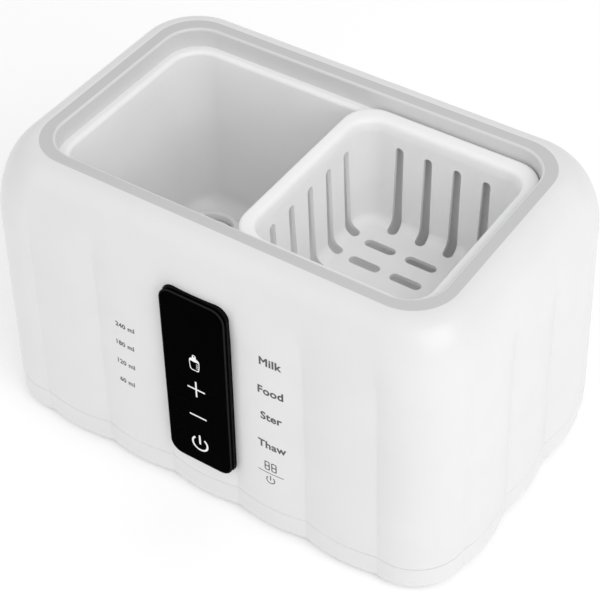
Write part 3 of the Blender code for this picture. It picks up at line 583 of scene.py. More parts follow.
FINISHES: dict[Slot, Finish] = {
    Slot.SHELL: ShellFinish("shell_gloss", white(0.76), white(0.745), 0.33, 0.03,
                            grain_scale=900.0, grain_depth=0.000004, ripple_depth=0.000012,
                            coat=0.04, translucency=0.05),
    # Painted light: the tank and the basket are a lighter white than the shell, which brightens the
    # inside of the wells where it lies in shade.
    Slot.TANK: Finish("tank_satin", white(0.89), white(0.875), 0.36, 0.05, grain_scale=1500.0,
                      grain_depth=0.000006, ripple_depth=0.00001, translucency=0.05),
    Slot.BASKET: Finish("basket_matte", white(0.88), white(0.865), 0.48, 0.06, grain_scale=2200.0,
                        grain_depth=0.00001, translucency=0.05),
    Slot.GLASS: GlassFinish("panel_gloss", white(0.0004), white(0.0007), 0.05, 0.07,
                            grain_depth=0.0000005),
    Slot.BLACK: GlassFinish("panel_surround", white(0.004), white(0.006), 0.28, 0.06,
                            grain_scale=4200.0, grain_depth=0.000006, reflection=0.03),
    Slot.DIFFUSER: Finish("light_guide", (0.80, 0.80, 0.78), (0.74, 0.74, 0.72), 0.40,
                          translucency=0.3),
    Slot.RUBBER: Finish("foot_rubber", white(0.50), white(0.42), 0.78, 0.08,
                        grain_scale=3200.0, grain_depth=0.00003),
    Slot.SILICONE: Finish("seal_silicone", (0.70, 0.70, 0.68), (0.64, 0.64, 0.62), 0.55,
                          translucency=0.2),
    Slot.STEEL: BrushedFinish("steel", (0.62, 0.62, 0.61), (0.54, 0.54, 0.54), 0.28, 0.08,
                              grain_scale=5200.0, grain_depth=0.000008, metallic=1.0),
    Slot.ALLOY: Finish("cast_alloy", (0.68, 0.68, 0.68), (0.64, 0.64, 0.645), 0.42, 0.06,
                       drift_scale=160.0, grain_depth=0.00003, metallic=1.0),
    Slot.BRASS: BrushedFinish("brass", (0.72, 0.55, 0.28), (0.62, 0.44, 0.20), 0.32, 0.08,
                              grain_scale=5200.0, grain_depth=0.000008, metallic=1.0),
    Slot.BOARD: BoardFinish("circuit_board", (0.02, 0.15, 0.07), (0.03, 0.18, 0.09), 0.40,
                            coat=0.3),
    Slot.NYLON: Finish("nylon_block", (0.78, 0.77, 0.72), (0.70, 0.69, 0.63), 0.48,
                       grain_depth=0.00002),
    Slot.DARK: Finish("dark_plastic", white(0.022), white(0.032), 0.46, 0.08,
                      grain_scale=3000.0, grain_depth=0.00002),
    Slot.WIRE: Finish("wire_jacket", (0.46, 0.035, 0.03), (0.36, 0.025, 0.02), 0.52, 0.08,
                      drift_scale=160.0, grain_depth=0.00002),
    Slot.RIBBON: RibbonFinish("ribbon_cable", (0.34, 0.34, 0.36), (0.12, 0.12, 0.13), 0.55),
}
GREY_INK = Finish("grey_ink", white(0.06), white(0.08), 0.45, 0.08, drift_scale=420.0,
                  grain_scale=6000.0, grain_depth=0.000004)
WHITE_INK = Finish("white_ink", white(0.90), white(0.84), 0.35, 0.06, drift_scale=420.0,
                   grain_scale=6000.0, grain_depth=0.000003)
FLOOR_FINISH = FloorFinish("studio_floor", white(0.93), white(0.92), 0.80, 0.05, drift_scale=2.0,
                           grain_scale=300.0, grain_depth=0.00002)


class Materials:
    """Builds each finish once and hands it out."""

    def __init__(self) -> None:
        """Start with no material made."""
        self.made: dict[str, bpy.types.Material] = {}

    def of(self, finish: Finish) -> bpy.types.Material:
        """Find a finish's material, which is made when first asked for.

        Args:
            finish: The finish.

        Returns:
            Its material.
        """
        if finish.name not in self.made:
            self.made[finish.name] = finish.build()
        return self.made[finish.name]

    def dress_cad(self) -> None:
        """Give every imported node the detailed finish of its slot."""
        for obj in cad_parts.values():
            for slot in obj.material_slots:
                finish = FINISHES[Slot(slot.material.name.split(".")[0])]
                slot.material = self.of(finish)


# ---------------------------------------------------------------- shape helpers

def rounded_outline(half_x: float, half_y: float, radius: float, steps: int = 12) -> Outline:
    """Draw a rounded rectangle, anticlockwise from its right side.

    Args:
        half_x: Half its width.
        half_y: Half its height.
        radius: Its corners' radius.
        steps: Steps round each corner.

    Returns:
        Its points.
    """
    points = []
    for quarter, (sx, sy) in enumerate(((1, 1), (-1, 1), (-1, -1), (1, -1))):
        for step in range(steps + 1):
            angle = math.radians(90.0 * (quarter + step / steps))
            points.append((sx * (half_x - radius) + radius * math.cos(angle),
                           sy * (half_y - radius) + radius * math.sin(angle)))
    return points


def stadium(half_length: float, half_width: float, steps: int = 8) -> Outline:
    """Draw a slot along X with round ends.

    Args:
        half_length: Half its length.
        half_width: Half its width, which is also its ends' radius.
        steps: Steps round each end.

    Returns:
        Its points.
    """
    points = []
    for side in (1, -1):
        for step in range(steps + 1):
            angle = math.radians(-90.0 + 180.0 * step / steps)
            points.append((side * (half_length - half_width + half_width * math.cos(angle)),
                           side * half_width * math.sin(angle)))
    return points


def circle(radius: float, sides: int = 32, centre: Point2 = (0.0, 0.0)) -> Outline:
    """Return a circle's points."""
    return [(centre[0] + radius * math.cos(2.0 * math.pi * k / sides),
             centre[1] + radius * math.sin(2.0 * math.pi * k / sides)) for k in range(sides)]


def shifted(outline: Outline, x: float, y: float) -> Outline:
    """Return an outline moved in its plane."""
    return [(px + x, py + y) for px, py in outline]


def flowing(points: list[Point2], steps: int = 4) -> list[Point2]:
    """Run a smooth line through the points of a profile.

    Args:
        points: The profile.
        steps: Steps from each point to the next.

    Returns:
        The line's points.
    """
    line = []
    for i in range(len(points) - 1):
        p0, p1 = Vector(points[max(i - 1, 0)]), Vector(points[i])
        p2, p3 = Vector(points[i + 1]), Vector(points[min(i + 2, len(points) - 1)])
        for step in range(steps):
            t = step / steps
            place = 0.5 * (2 * p1 + (p2 - p0) * t + (2 * p0 - 5 * p1 + 4 * p2 - p3) * t * t
                           + (3 * p1 - p0 - 3 * p2 + p3) * t ** 3)
            line.append((place.x, place.y))
    line.append(points[-1])
    return line


def arc(centre: Point2, radius: float, start: float, stop: float, steps: int) -> list[Point2]:
    """Return points on an arc, the angles in degrees."""
    angles = [math.radians(start + (stop - start) * k / steps) for k in range(steps + 1)]
    return [(centre[0] + radius * math.cos(a), centre[1] + radius * math.sin(a)) for a in angles]


def mesh_of(name: str, bm: bmesh.types.BMesh) -> bpy.types.Object:
    """Make an object of a mesh, and link it to the scene.

    Args:
        name: The object's name.
        bm: The mesh, which is freed.

    Returns:
        The new object.
    """
    mesh = bpy.data.meshes.new(name)
    bm.to_mesh(mesh)
    bm.free()
    obj = bpy.data.objects.new(name, mesh)
    bpy.context.scene.collection.objects.link(obj)
    return obj


def loft(name: str, rings: list[list[Vector]], cap_start: bool = False,
         cap_end: bool = False) -> bpy.types.Object:
    """Make a surface through rings of equally many points.

    Args:
        name: The object's name.
        rings: The rings in order.
        cap_start: Close the first ring with a face.
        cap_end: Close the last ring with a face.

    Returns:
        The new object.
    """
    bm = bmesh.new()
    loops = [[bm.verts.new(point) for point in ring] for ring in rings]
    for lower, upper in zip(loops, loops[1:]):
        for i, vertex in enumerate(lower):
            j = (i + 1) % len(lower)
            bm.faces.new((vertex, lower[j], upper[j], upper[i]))
    if cap_end:
        bm.faces.new(loops[-1])
    if cap_start:
        bm.faces.new(loops[0][::-1])
    return mesh_of(name, bm)


def level_ring(outline: Outline, z: float) -> list[Vector]:
    """Return an outline as a level ring at a height."""
    return [Vector((x, y, z)) for x, y in outline]


def prism(name: str, outline: Outline, low: float, high: float) -> bpy.types.Object:
    """Return a closed solid with the outline in XY, from the low to the high level."""
    return loft(name, [level_ring(outline, low), level_ring(outline, high)], True, True)


def turned(name: str, profile: list[Point2], sides: int = 32) -> bpy.types.Object:
    """Return a turned solid whose (radius, z) profile runs from the bottom up, off the axis."""
    rings = [level_ring(circle(radius, sides), z) for radius, z in profile]
    return loft(name, rings, True, True)


def place(obj: bpy.types.Object, matrix: Matrix) -> bpy.types.Object:
    """Move an object's mesh, and leave the object at the origin."""
    obj.data.transform(matrix)
    return obj


def solid_wall(obj: bpy.types.Object, thickness: float) -> None:
    """Give an open surface a wall behind its face.

    Args:
        obj: The surface.
        thickness: The wall's thickness.
    """
    shell = obj.modifiers.new("wall", "SOLIDIFY")
    shell.thickness = thickness
    shell.offset = -1.0
    shell.use_even_offset = True


def combine(obj: bpy.types.Object, others: list[bpy.types.Object], operation: str) -> None:
    """Add one Boolean of each other solid to an object.

    Args:
        obj: The object.
        others: The solids to add or cut away.
        operation: UNION or DIFFERENCE.
    """
    for other in others:
        step = obj.modifiers.new(operation.lower(), "BOOLEAN")
        step.operation = operation
        step.solver = "EXACT"
        step.object = other


def bake(obj: bpy.types.Object, used: list[bpy.types.Object] | None = None) -> bpy.types.Object:
    """Turn an object with modifiers into a plain mesh object.

    Args:
        obj: The object, whose modifiers are removed.
        used: Solids that the modifiers needed, which are removed with them.

    Returns:
        The same object.
    """
    evaluated = obj.evaluated_get(bpy.context.evaluated_depsgraph_get())
    mesh = bpy.data.meshes.new_from_object(evaluated, preserve_all_data_layers=True,
                                           depsgraph=bpy.context.evaluated_depsgraph_get())
    old = obj.data
    obj.modifiers.clear()
    obj.data = mesh
    mesh.name = obj.name
    bpy.data.meshes.remove(old)
    for other in used or []:
        bpy.data.objects.remove(other, do_unlink=True)
    return obj


def smooth(obj: bpy.types.Object, crease: float = CREASE) -> bpy.types.Object:
    """Shade a finished mesh smoothly, crisp at its creases and flat on its large faces.

    Args:
        obj: The object.
        crease: Edges sharper than this angle stay crisp.

    Returns:
        The same object.
    """
    obj.data.shade_smooth()
    obj.data.set_sharp_from_angle(angle=crease)
    weights = obj.modifiers.new("weights", "WEIGHTED_NORMAL")
    weights.keep_sharp = True
    return bake(obj)


def flat_solid(name: str, outlines: list[Outline], thickness: float) -> bpy.types.Object:
    """Return a plate of closed outlines in XY, the nested ones being holes.

    Args:
        name: The object's name.
        outlines: The closed outlines.
        thickness: Height of the plate about z = 0.

    Returns:
        The new object.
    """
    curve = bpy.data.curves.new(name, "CURVE")
    curve.dimensions = "2D"
    curve.fill_mode = "BOTH"
    curve.extrude = thickness / 2.0
    for outline in outlines:
        spline = curve.splines.new("POLY")
        spline.points.add(len(outline) - 1)
        for point, (x, y) in zip(spline.points, outline):
            point.co = (x, y, 0.0, 1.0)
        spline.use_cyclic_u = True
    return curve_solid(name, curve)


def curve_solid(name: str, curve: bpy.types.Curve) -> bpy.types.Object:
    """Turn a curve or lettering into a closed mesh object.

    Args:
        name: The object's name.
        curve: The curve's data.

    Returns:
        The new object.
    """
    guide = bpy.data.objects.new(name + "_curve", curve)
    bpy.context.scene.collection.objects.link(guide)
    evaluated = guide.evaluated_get(bpy.context.evaluated_depsgraph_get())
    mesh = bpy.data.meshes.new_from_object(evaluated)
    bpy.data.objects.remove(guide, do_unlink=True)
    bm = bmesh.new()
    bm.from_mesh(mesh)
    bpy.data.meshes.remove(mesh)
    bmesh.ops.remove_doubles(bm, verts=bm.verts, dist=MERGE)
    bmesh.ops.recalc_face_normals(bm, faces=bm.faces)
    return mesh_of(name, bm)


def lettering(text: str, size: float, thickness: float, weight: float) -> bpy.types.Object:
    """Return a centred line of lettering as a solid about z = 0.

    Args:
        text: The characters.
        size: Type size.
        thickness: Height of the letters about z = 0.
        weight: How far the strokes are fattened.

    Returns:
        The new object.
    """
    curve = bpy.data.curves.new("lettering", "FONT")
    curve.body = text
    curve.size = size
    curve.align_x = "CENTER"
    curve.align_y = "CENTER"
    curve.space_character = LETTER_SPACE
    curve.extrude = thickness / 2.0
    curve.resolution_u = 4
    return fattened(curve_solid("lettering", curve), weight)


def fattened(obj: bpy.types.Object, weight: float) -> bpy.types.Object:
    """Move the upright sides of a flat solid outward, which makes its strokes bolder.

    Args:
        obj: The solid in XY.
        weight: How far the sides move.

    Returns:
        The same object.
    """
    leaning, least_turn = 0.5, 0.5  # a side's most lean, and the limit at a sharp corner
    bm = bmesh.new()
    bm.from_mesh(obj.data)
    bm.normal_update()
    moves = []
    for vertex in bm.verts:
        sides = [face.normal for face in vertex.link_faces if abs(face.normal.z) < leaning]
        outward = sum(sides, Vector())
        if outward.length > MERGE:
            outward.normalize()
            moves.append((vertex, outward * weight / max(outward.dot(sides[0]), least_turn)))
    for vertex, move in moves:
        vertex.co += move
    bm.to_mesh(obj.data)
    bm.free()
    return obj


def joined(name: str, parts: list[bpy.types.Object]) -> bpy.types.Object:
    """Put the meshes of several objects into one.

    Args:
        name: The new object's name.
        parts: The objects, which are removed.

    Returns:
        The new object.
    """
    bm = bmesh.new()
    for part in parts:
        bm.from_mesh(part.data)
        bpy.data.objects.remove(part, do_unlink=True)
    return mesh_of(name, bm)


# ---------------------------------------------------------------- lobed form

class RingPoint(NamedTuple):
    """A point of a ring, with its share across its lobe and the wall's outward direction."""

    spot: Vector
    across: float
    outward: Vector


@dataclass
class LobedForm:
    """The scalloped outer form that the housing and the base share.

    Attributes:
        opening_x: Half the top opening's width.
        opening_y: Half its depth, front to back.
        opening_r: Its corner radius.
        band: Width of the flat band round it.
        shoulder_out: How far the shoulder goes out from the band.
        shoulder_drop: How far it comes down.
        flare: How far the wall leans out from the shoulder to the seam.
        wall_r: The wall's corner radius.
        lobe_depth: Depth of a groove.
        lobe_pitch: Distance from groove to groove at the seam.
        top_z: Height of the band.
        seam_z: Height of the seam between housing and base.
        fade_start: How far below the band the grooves begin.
        fade_length: Over how much height they reach their full depth.
        lobe_steps: Points across a lobe.
        corner_steps: Points across a corner's lobe.
    """

    opening_x: float = 0.0940
    opening_y: float = 0.0524
    opening_r: float = 0.0165
    band: float = 0.0061
    shoulder_out: float = 0.0180
    shoulder_drop: float = 0.0380
    flare: float = 0.0021
    wall_r: float = 0.0315
    lobe_depth: float = 0.0023
    lobe_pitch: float = 0.0355
    top_z: float = 0.1430
    seam_z: float = 0.0156
    fade_start: float = 0.0060
    fade_length: float = 0.0360
    lobe_steps: int = 16
    corner_steps: int = 22

    def quarter_length(self, offset: float, radius: float) -> float:
        """Return the length of a quarter outline, from front middle to side middle."""
        straight = self.opening_x + self.opening_y + 2.0 * offset
        return straight - (2.0 - math.pi / 2.0) * radius

    def quarter_point(self, offset: float, radius: float, share: float) -> tuple[Vector, Vector]:
        """Find a point of the quarter outline.

        Args:
            offset: How far the outline stands outside the top opening.
            radius: Its corner radius.
            share: How far along the quarter the point lies, from 0 to 1.

        Returns:
            The point and its outward direction.
        """
        half_x, half_y = self.opening_x + offset, self.opening_y + offset
        run_x, run_y = half_x - radius, half_y - radius
        along = share * self.quarter_length(offset, radius)
        if along <= run_x:
            return Vector((along, -half_y)), Vector((0.0, -1.0))
        bend = radius * math.pi / 2.0
        if along >= run_x + bend:
            return Vector((half_x, along - run_x - bend - run_y)), Vector((1.0, 0.0))
        angle = (along - run_x) / radius
        outward = Vector((math.sin(angle), -math.cos(angle)))
        return Vector((run_x, -run_y)) + radius * outward, outward

    def seam_length(self) -> float:
        """Return the quarter length at the seam, which fixes where the grooves stand."""
        return self.quarter_length(self.band + self.shoulder_out + self.flare, self.wall_r)

    def samples(self) -> list[Point2]:
        """Spread the points of a quarter ring over its lobes.

        Returns:
            The share of the quarter and the share across the lobe, for each point.
        """
        corner, rounding = 3, 1e-9
        unit = self.lobe_pitch / self.seam_length()
        edges = [-0.5 * unit, 0.5 * unit, 1.5 * unit, 2.5 * unit, 1.0 - 1.5 * unit,
                 1.0 - 0.5 * unit, 1.0 + 0.5 * unit]
        found = []
        for number, (low, high) in enumerate(zip(edges, edges[1:])):
            steps = self.corner_steps if number == corner else self.lobe_steps
            for step in range(steps):
                share = low + (high - low) * step / steps
                if -rounding <= share <= 1.0 + rounding:
                    found.append((min(max(share, 0.0), 1.0), step / steps))
        return found

    def ring(self, offset: float, z: float, radius: float | None = None,
             groove: float = 1.0) -> list[RingPoint]:
        """Return a whole ring, not yet scalloped.

        Args:
            offset: How far it stands outside the top opening.
            z: Its height.
            radius: Its corner radius, or None for the form's own.
            groove: Share of the full groove depth that it is to get.

        Returns:
            The ring's points, anticlockwise.
        """
        if radius is None:
            share = min(offset / (self.band + self.shoulder_out), 1.0)
            radius = self.opening_r + (self.wall_r - self.opening_r) * share
        quarter = []
        for share, across in self.samples():
            spot, outward = self.quarter_point(offset, radius, share)
            eased = 0.5 + (across - 0.5) * math.sqrt(groove)
            quarter.append((spot.x, spot.y, eased, outward.x, outward.y))
        half = quarter + [(x, -y, t, nx, -ny) for x, y, t, nx, ny in reversed(quarter[:-1])]
        whole = half + [(-x, y, t, -nx, ny) for x, y, t, nx, ny in reversed(half[1:-1])]
        return [RingPoint(Vector((x, y + SHIFT_Y, z)), t, Vector((nx, ny, 0.0)))
                for x, y, t, nx, ny in whole]

    def wall_offset(self, z: float) -> float:
        """Measure how far the wall stands outside the opening.

        Args:
            z: The height.

        Returns:
            The distance.
        """
        drop = self.top_z - z
        if drop < self.shoulder_drop:
            return self.band + self.shoulder_out * math.sqrt(
                1.0 - (1.0 - drop / self.shoulder_drop) ** 2)
        share = (drop - self.shoulder_drop) / (self.top_z - self.shoulder_drop - self.seam_z)
        return self.band + self.shoulder_out + self.flare * share

    def front_y(self, x: float, z: float) -> float:
        """Find the front wall's face.

        Args:
            x: Where, across the wall.
            z: Where, up the wall.

        Returns:
            The face's place along Y.
        """
        offset = self.wall_offset(z)
        unit = self.lobe_pitch / self.seam_length()
        across = (abs(x) / self.quarter_length(offset, self.wall_r) / unit + 0.5) % 1.0
        fade = min(max((self.top_z - z - self.fade_start) / self.fade_length, 0.0), 1.0)
        groove = self.lobe_depth * fade * fade * (3.0 - 2.0 * fade) * (2.0 * across - 1.0) ** 2
        return SHIFT_Y - self.opening_y - offset + groove

    def surface(self, name: str, rings: list[list[RingPoint]], painted_shades: list[float],
                cap_start: bool = False) -> bpy.types.Object:
        """Loft rings and store what the scallop tree and the finish read.

        Args:
            name: The object's name.
            rings: The rings in order.
            painted_shades: The strength of the rim's painted shade at each ring.
            cap_start: Close the first ring.

        Returns:
            The new object.
        """
        obj = loft(name, [[point.spot for point in ring] for ring in rings], cap_start)
        points = [point for ring in rings for point in ring]
        across = obj.data.attributes.new("lobe_place", "FLOAT", "POINT")
        across.data.foreach_set("value", [point.across for point in points])
        outward = obj.data.attributes.new("outward", "FLOAT_VECTOR", "POINT")
        outward.data.foreach_set("vector", [c for point in points for c in point.outward])
        # The rim's painted shade, stored for the shell finish to read.
        tone = obj.data.attributes.new("rim_painted_shade", "FLOAT", "POINT")
        tone.data.foreach_set("value", [t for t, ring in zip(painted_shades, rings) for _ in ring])
        return obj

    def scallop(self, obj: bpy.types.Object, material: bpy.types.Material) -> None:
        """Press the grooves into a surface."""
        run_tree(obj, TREES["scallops"], {
            "Groove Depth": self.lobe_depth, "Top Level": self.top_z,
            "Fade Start": self.fade_start, "Fade Length": self.fade_length, "Finish": material})


FORM = LobedForm()
TREES: dict[str, bpy.types.NodeTree] = {}


# ---------------------------------------------------------------- sub-assemblies

@dataclass
class SubAssembly:
    """A group of pieces that are built and dressed together."""

    materials: Materials
    body: Body = Body.WARMER

    def mount(self, obj: bpy.types.Object, finish: Finish, slot: Slot | None,
              nodes: tuple[str, ...] = ()) -> bpy.types.Object:
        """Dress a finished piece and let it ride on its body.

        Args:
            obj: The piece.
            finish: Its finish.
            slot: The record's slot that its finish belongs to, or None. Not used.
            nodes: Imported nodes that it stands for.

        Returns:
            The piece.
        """
        obj.data.materials.clear()
        obj.data.materials.append(self.materials.of(finish))
        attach(obj, self.body.value)
        if nodes:
            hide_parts(*nodes)
        LOG.info("%s: %d faces on %s", obj.name, len(obj.data.polygons), self.body.value)
        return obj

    def repeated(self, obj: bpy.types.Object, columns: int, rows: int, column_step: Vector,
                 row_step: Vector, finish: Finish) -> bpy.types.Object:
        """Repeat a shape in columns and rows, as one plain mesh.

        Args:
            obj: The shape, at the middle of the lattice.
            columns: How many along the column step.
            rows: How many along the row step.
            column_step: From one column to the next.
            row_step: From one row to the next.
            finish: The finish of all of them.

        Returns:
            The same object, holding them all.
        """
        run_tree(obj, TREES["lattice"], {
            "Columns": columns, "Rows": rows, "Column Step": tuple(column_step),
            "Row Step": tuple(row_step), "Finish": self.materials.of(finish)})
        return bake(obj)


@dataclass
class Housing(SubAssembly):
    """The lobed outer shell with its rim, panel pocket and inlet pocket.

    Attributes:
        skin: The wall's thickness.
        lip: Radius of the rim's inner edge.
        lip_rest: How far the rim's inner wall stays above the tank's ledge.
        wall_painted_shade: How much of the band's painted shade the inner wall takes.
        lip_painted_shade: The same for the inner edge.
        lip_shares: Where the inner wall's rings stand, from the ledge to the edge.
        band_shares: Where the band's rings stand, from inside to outside.
        shoulder_steps: Rings down the shoulder.
        wall_steps: Rings down the wall.
        break_height: Height of the broken edge at the seam.
        pocket_depth: How far the pockets' cutters reach in from each face.
        panel_clear: How far the panel's cutter stands out.
        inlet_clear: How far the inlet's cutter stands out.
    """

    skin: float = 0.0024
    lip: float = 0.0010
    lip_rest: float = 0.00002
    wall_painted_shade: float = 0.30
    lip_painted_shade: float = 0.35
    lip_shares: tuple[float, ...] = (0.0, 0.5, 0.94)
    band_shares: tuple[float, ...] = (0.03, 0.35, 0.70, 0.98)
    shoulder_steps: int = 20
    wall_steps: int = 12
    break_height: float = 0.0005
    pocket_depth: float = 0.0120
    panel_clear: float = 0.0030
    inlet_clear: float = 0.0060

    def rings(self) -> tuple[list[list[RingPoint]], list[float]]:
        """Set out the rings from the lip's foot, out over the rim and down to the seam.

        Returns:
            The rings, and how much painted shade each takes.
        """
        form = FORM
        rings, painted_shades = [], []

        def add(offset: float, z: float, tone: float, radius: float | None = None) -> None:
            """Keep one ring and the strength of its painted shade."""
            rings.append(form.ring(offset, z, radius))
            painted_shades.append(tone)

        low, high = LEDGE_Z + self.lip_rest, form.top_z - self.lip
        # Painted shade: the band takes it in full, the inner wall and lip in part, the shoulder and
        # wall not at all.
        for share in self.lip_shares:
            add(0.0, low + (high - low) * share, self.wall_painted_shade, form.opening_r)
        for x, z in arc((self.lip, form.top_z - self.lip), self.lip, 180.0, 90.0, 7):
            add(x, z, self.lip_painted_shade, form.opening_r + x)
        for share in self.band_shares:
            add(self.lip + (form.band - self.lip) * share, form.top_z, 1.0)
        for step in range(self.shoulder_steps + 1):
            angle = math.radians(90.0 * step / self.shoulder_steps)
            add(form.band + form.shoulder_out * math.sin(angle),
                form.top_z - form.shoulder_drop * (1.0 - math.cos(angle)), 0.0)
        end = form.seam_z + SEAM_LINE
        low, high = end + self.break_height, form.top_z - form.shoulder_drop
        for step in range(1, self.wall_steps + 1):
            z = high + (low - high) * step / self.wall_steps
            add(form.wall_offset(z), z, 0.0)
        add(form.wall_offset(end) - SEAM_BREAK, end, 0.0)
        return rings, painted_shades

    def build(self) -> None:
        """Build the shell."""
        rings, painted_shades = self.rings()
        shell = FORM.surface("housing_shell", rings[::-1], painted_shades[::-1])
        FORM.scallop(shell, self.materials.of(FINISHES[Slot.SHELL]))
        solid_wall(shell, self.skin)
        panel = ControlPanel(self.materials)
        pocket = prism("panel_pocket", rounded_outline(
            panel.width / 2 + GAP, panel.height / 2 + GAP, panel.corner),
            -self.pocket_depth, self.panel_clear)
        place(pocket, panel.frame(0.0))
        inlet = RearInlet(self.materials)
        hole = prism("inlet_pocket", rounded_outline(
            inlet.width / 2 + GAP, inlet.height / 2 + GAP, inlet.corner + GAP),
            -self.pocket_depth, self.inlet_clear)
        place(hole, inlet.frame())
        combine(shell, [pocket, hole], "DIFFERENCE")
        shell = smooth(bake(shell, [pocket, hole]), GROOVE_CREASE)
        self.mount(shell, FINISHES[Slot.SHELL], Slot.SHELL, ("outer_housing",))


@dataclass
class BaseTray(SubAssembly):
    """The scalloped tray with vents, screw wells, rubber feet and their screws.

    Attributes:
        skin: The wall's thickness.
        bottom_z: Height of the tray's underside.
        roll: Radius of the rounded lower edge.
        break_height: Height of the broken edge at the seam.
        foot_x: Where the feet stand, either side of the middle.
        foot_y: The same, front to back.
        foot_r: A foot's radius.
        seat_rise: Depth of the seat that a foot sits in.
        screw_x: Where the screws stand, either side of the middle.
        screw_y: The same, front to back.
        well_r: Radius of a screw's well.
        well_z: Height of its end.
        well_break: Width of its broken edge.
        post_r: Radius of the post round it.
        post_rise: How far a post stands above the seam.
        hole_r: Radius of the hole for the screw's shank.
        hole_z: Lower and upper end of that hole's cutter.
        vent: Half a vent's length and half its width.
        vent_count: Vents side by side, and rows of them.
        vent_pitch: From one vent to the next, along X and along Y.
        vent_y: Middle of the vents, towards the back.
        vent_high: Upper end of a vent's cutter.
        groove_ease: Share of the grooves' depth that is gone at the underside.
    """

    skin: float = 0.0024
    bottom_z: float = 0.0020
    roll: float = 0.0038
    break_height: float = 0.0005
    foot_x: float = 0.0850
    foot_y: float = 0.0480
    foot_r: float = 0.0070
    seat_rise: float = 0.0010
    screw_x: float = 0.1045
    screw_y: float = 0.0355
    well_r: float = 0.0040
    well_z: float = 0.0115
    well_break: float = 0.0006
    post_r: float = 0.0056
    post_rise: float = 0.0004
    hole_r: float = 0.0019
    hole_z: Point2 = (0.0100, 0.0220)
    vent: Point2 = (0.0150, 0.0015)
    vent_count: tuple[int, int] = (2, 4)
    vent_pitch: Point2 = (0.1000, 0.0080)
    vent_y: float = 0.0260
    vent_high: float = 0.0060
    groove_ease: float = 0.45

    def grid(self, obj: bpy.types.Object, x: float, y: float, finish: Finish) -> bpy.types.Object:
        """Repeat a shape at the four corners of a rectangle round the middle of the base."""
        spread = self.repeated(obj, 2, 2, Vector((2 * x, 0, 0)), Vector((0, 2 * y, 0)), finish)
        return place(spread, Matrix.Translation((0.0, SHIFT_Y, 0.0)))

    def at_screws(self, name: str, profile: list[Point2], sides: int = 32) -> bpy.types.Object:
        """Return turned solids of one profile at the four screws."""
        solid = turned(name, profile, sides)
        return self.grid(solid, self.screw_x, self.screw_y, FINISHES[Slot.SHELL])

    def tray(self) -> None:
        """Build the tray."""
        form, finish = FORM, FINISHES[Slot.SHELL]
        top = form.seam_z - SEAM_LINE
        edge = [(SEAM_BREAK, top), (0.0, top - self.break_height)]
        rolled = arc((self.roll, self.bottom_z + self.roll), self.roll, 180.0, 270.0, 12)
        outside = form.wall_offset(form.seam_z)
        rings = [form.ring(outside - inset, z, form.wall_r - inset,
                           1.0 - self.groove_ease * inset / self.roll)
                 for inset, z in edge + rolled]
        tray = form.surface("base_tray", rings[::-1], [0.0] * len(rings), cap_start=True)
        form.scallop(tray, self.materials.of(finish))
        solid_wall(tray, self.skin)
        seat_z = self.bottom_z + self.seat_rise
        wide, seat_r = self.well_r + self.well_break, self.foot_r + GAP
        posts = self.at_screws("posts", [(self.post_r, seat_z),
                                         (self.post_r, form.seam_z + self.post_rise)])
        wells = self.at_screws("wells", [(wide, -OVERCUT), (wide, self.bottom_z),
                                         (self.well_r, self.bottom_z + self.well_break),
                                         (self.well_r, self.well_z)])
        through = self.at_screws("through", [(self.hole_r, z) for z in self.hole_z], 16)
        seats = self.grid(turned("seats", [(seat_r, -OVERCUT), (seat_r, seat_z)]),
                          self.foot_x, self.foot_y, finish)
        vents = self.repeated(prism("vents", stadium(*self.vent), -OVERCUT, self.vent_high),
                              *self.vent_count, Vector((self.vent_pitch[0], 0, 0)),
                              Vector((0, self.vent_pitch[1], 0)), finish)
        place(vents, Matrix.Translation((0.0, self.vent_y + SHIFT_Y, 0.0)))
        combine(tray, [posts], "UNION")
        combine(tray, [wells, through, seats, vents], "DIFFERENCE")
        bake(tray, [posts, wells, through, seats, vents])
        self.mount(smooth(tray, GROOVE_CREASE), finish, Slot.SHELL, ("base_cover",))

    def feet(self) -> None:
        """Build the four feet, each with a raised grip ring."""
        high = self.bottom_z + self.seat_rise - GAP
        profile = [(0.0026, 0.0005), (0.0030, 0.0002), (0.0042, 0.0002), (0.0046, 0.0),
                   (0.0062, 0.0), (0.0068, 0.0003), (self.foot_r, 0.0008), (self.foot_r, high)]
        feet = self.grid(turned("feet", profile), self.foot_x, self.foot_y, FINISHES[Slot.RUBBER])
        names = tuple(f"foot_{k}" for k in range(1, 5))
        self.mount(smooth(feet), FINISHES[Slot.RUBBER], Slot.RUBBER, names)

    def screws(self) -> None:
        """Build the four pan-head screws with cross recesses."""
        head = self.well_z - GAP
        profile = [(0.0020, head - 0.0020), (0.0028, head - 0.0017), (0.0034, head - 0.0010),
                   (0.0034, head), (0.0014, head), (0.0014, head + 0.0130), (0.0004, head + 0.0158)]
        screw = turned("base_screws", profile, 24)
        arms = ((0.0016, 0.0004), (0.0004, 0.0016))
        cuts = [prism(f"cross_{turn}", rounded_outline(*size, 0.0001, 2),
                      head - 0.0030, head - 0.0008) for turn, size in enumerate(arms)]
        combine(screw, cuts, "DIFFERENCE")
        bake(screw, cuts)
        self.grid(screw, self.screw_x, self.screw_y, FINISHES[Slot.STEEL])
        names = tuple(f"base_screw_{k}" for k in range(1, 5))
        self.mount(smooth(screw), FINISHES[Slot.STEEL], Slot.STEEL, names)

    def build(self) -> None:
        """Build tray, feet and screws."""
        self.tray()
        self.feet()
        self.screws()


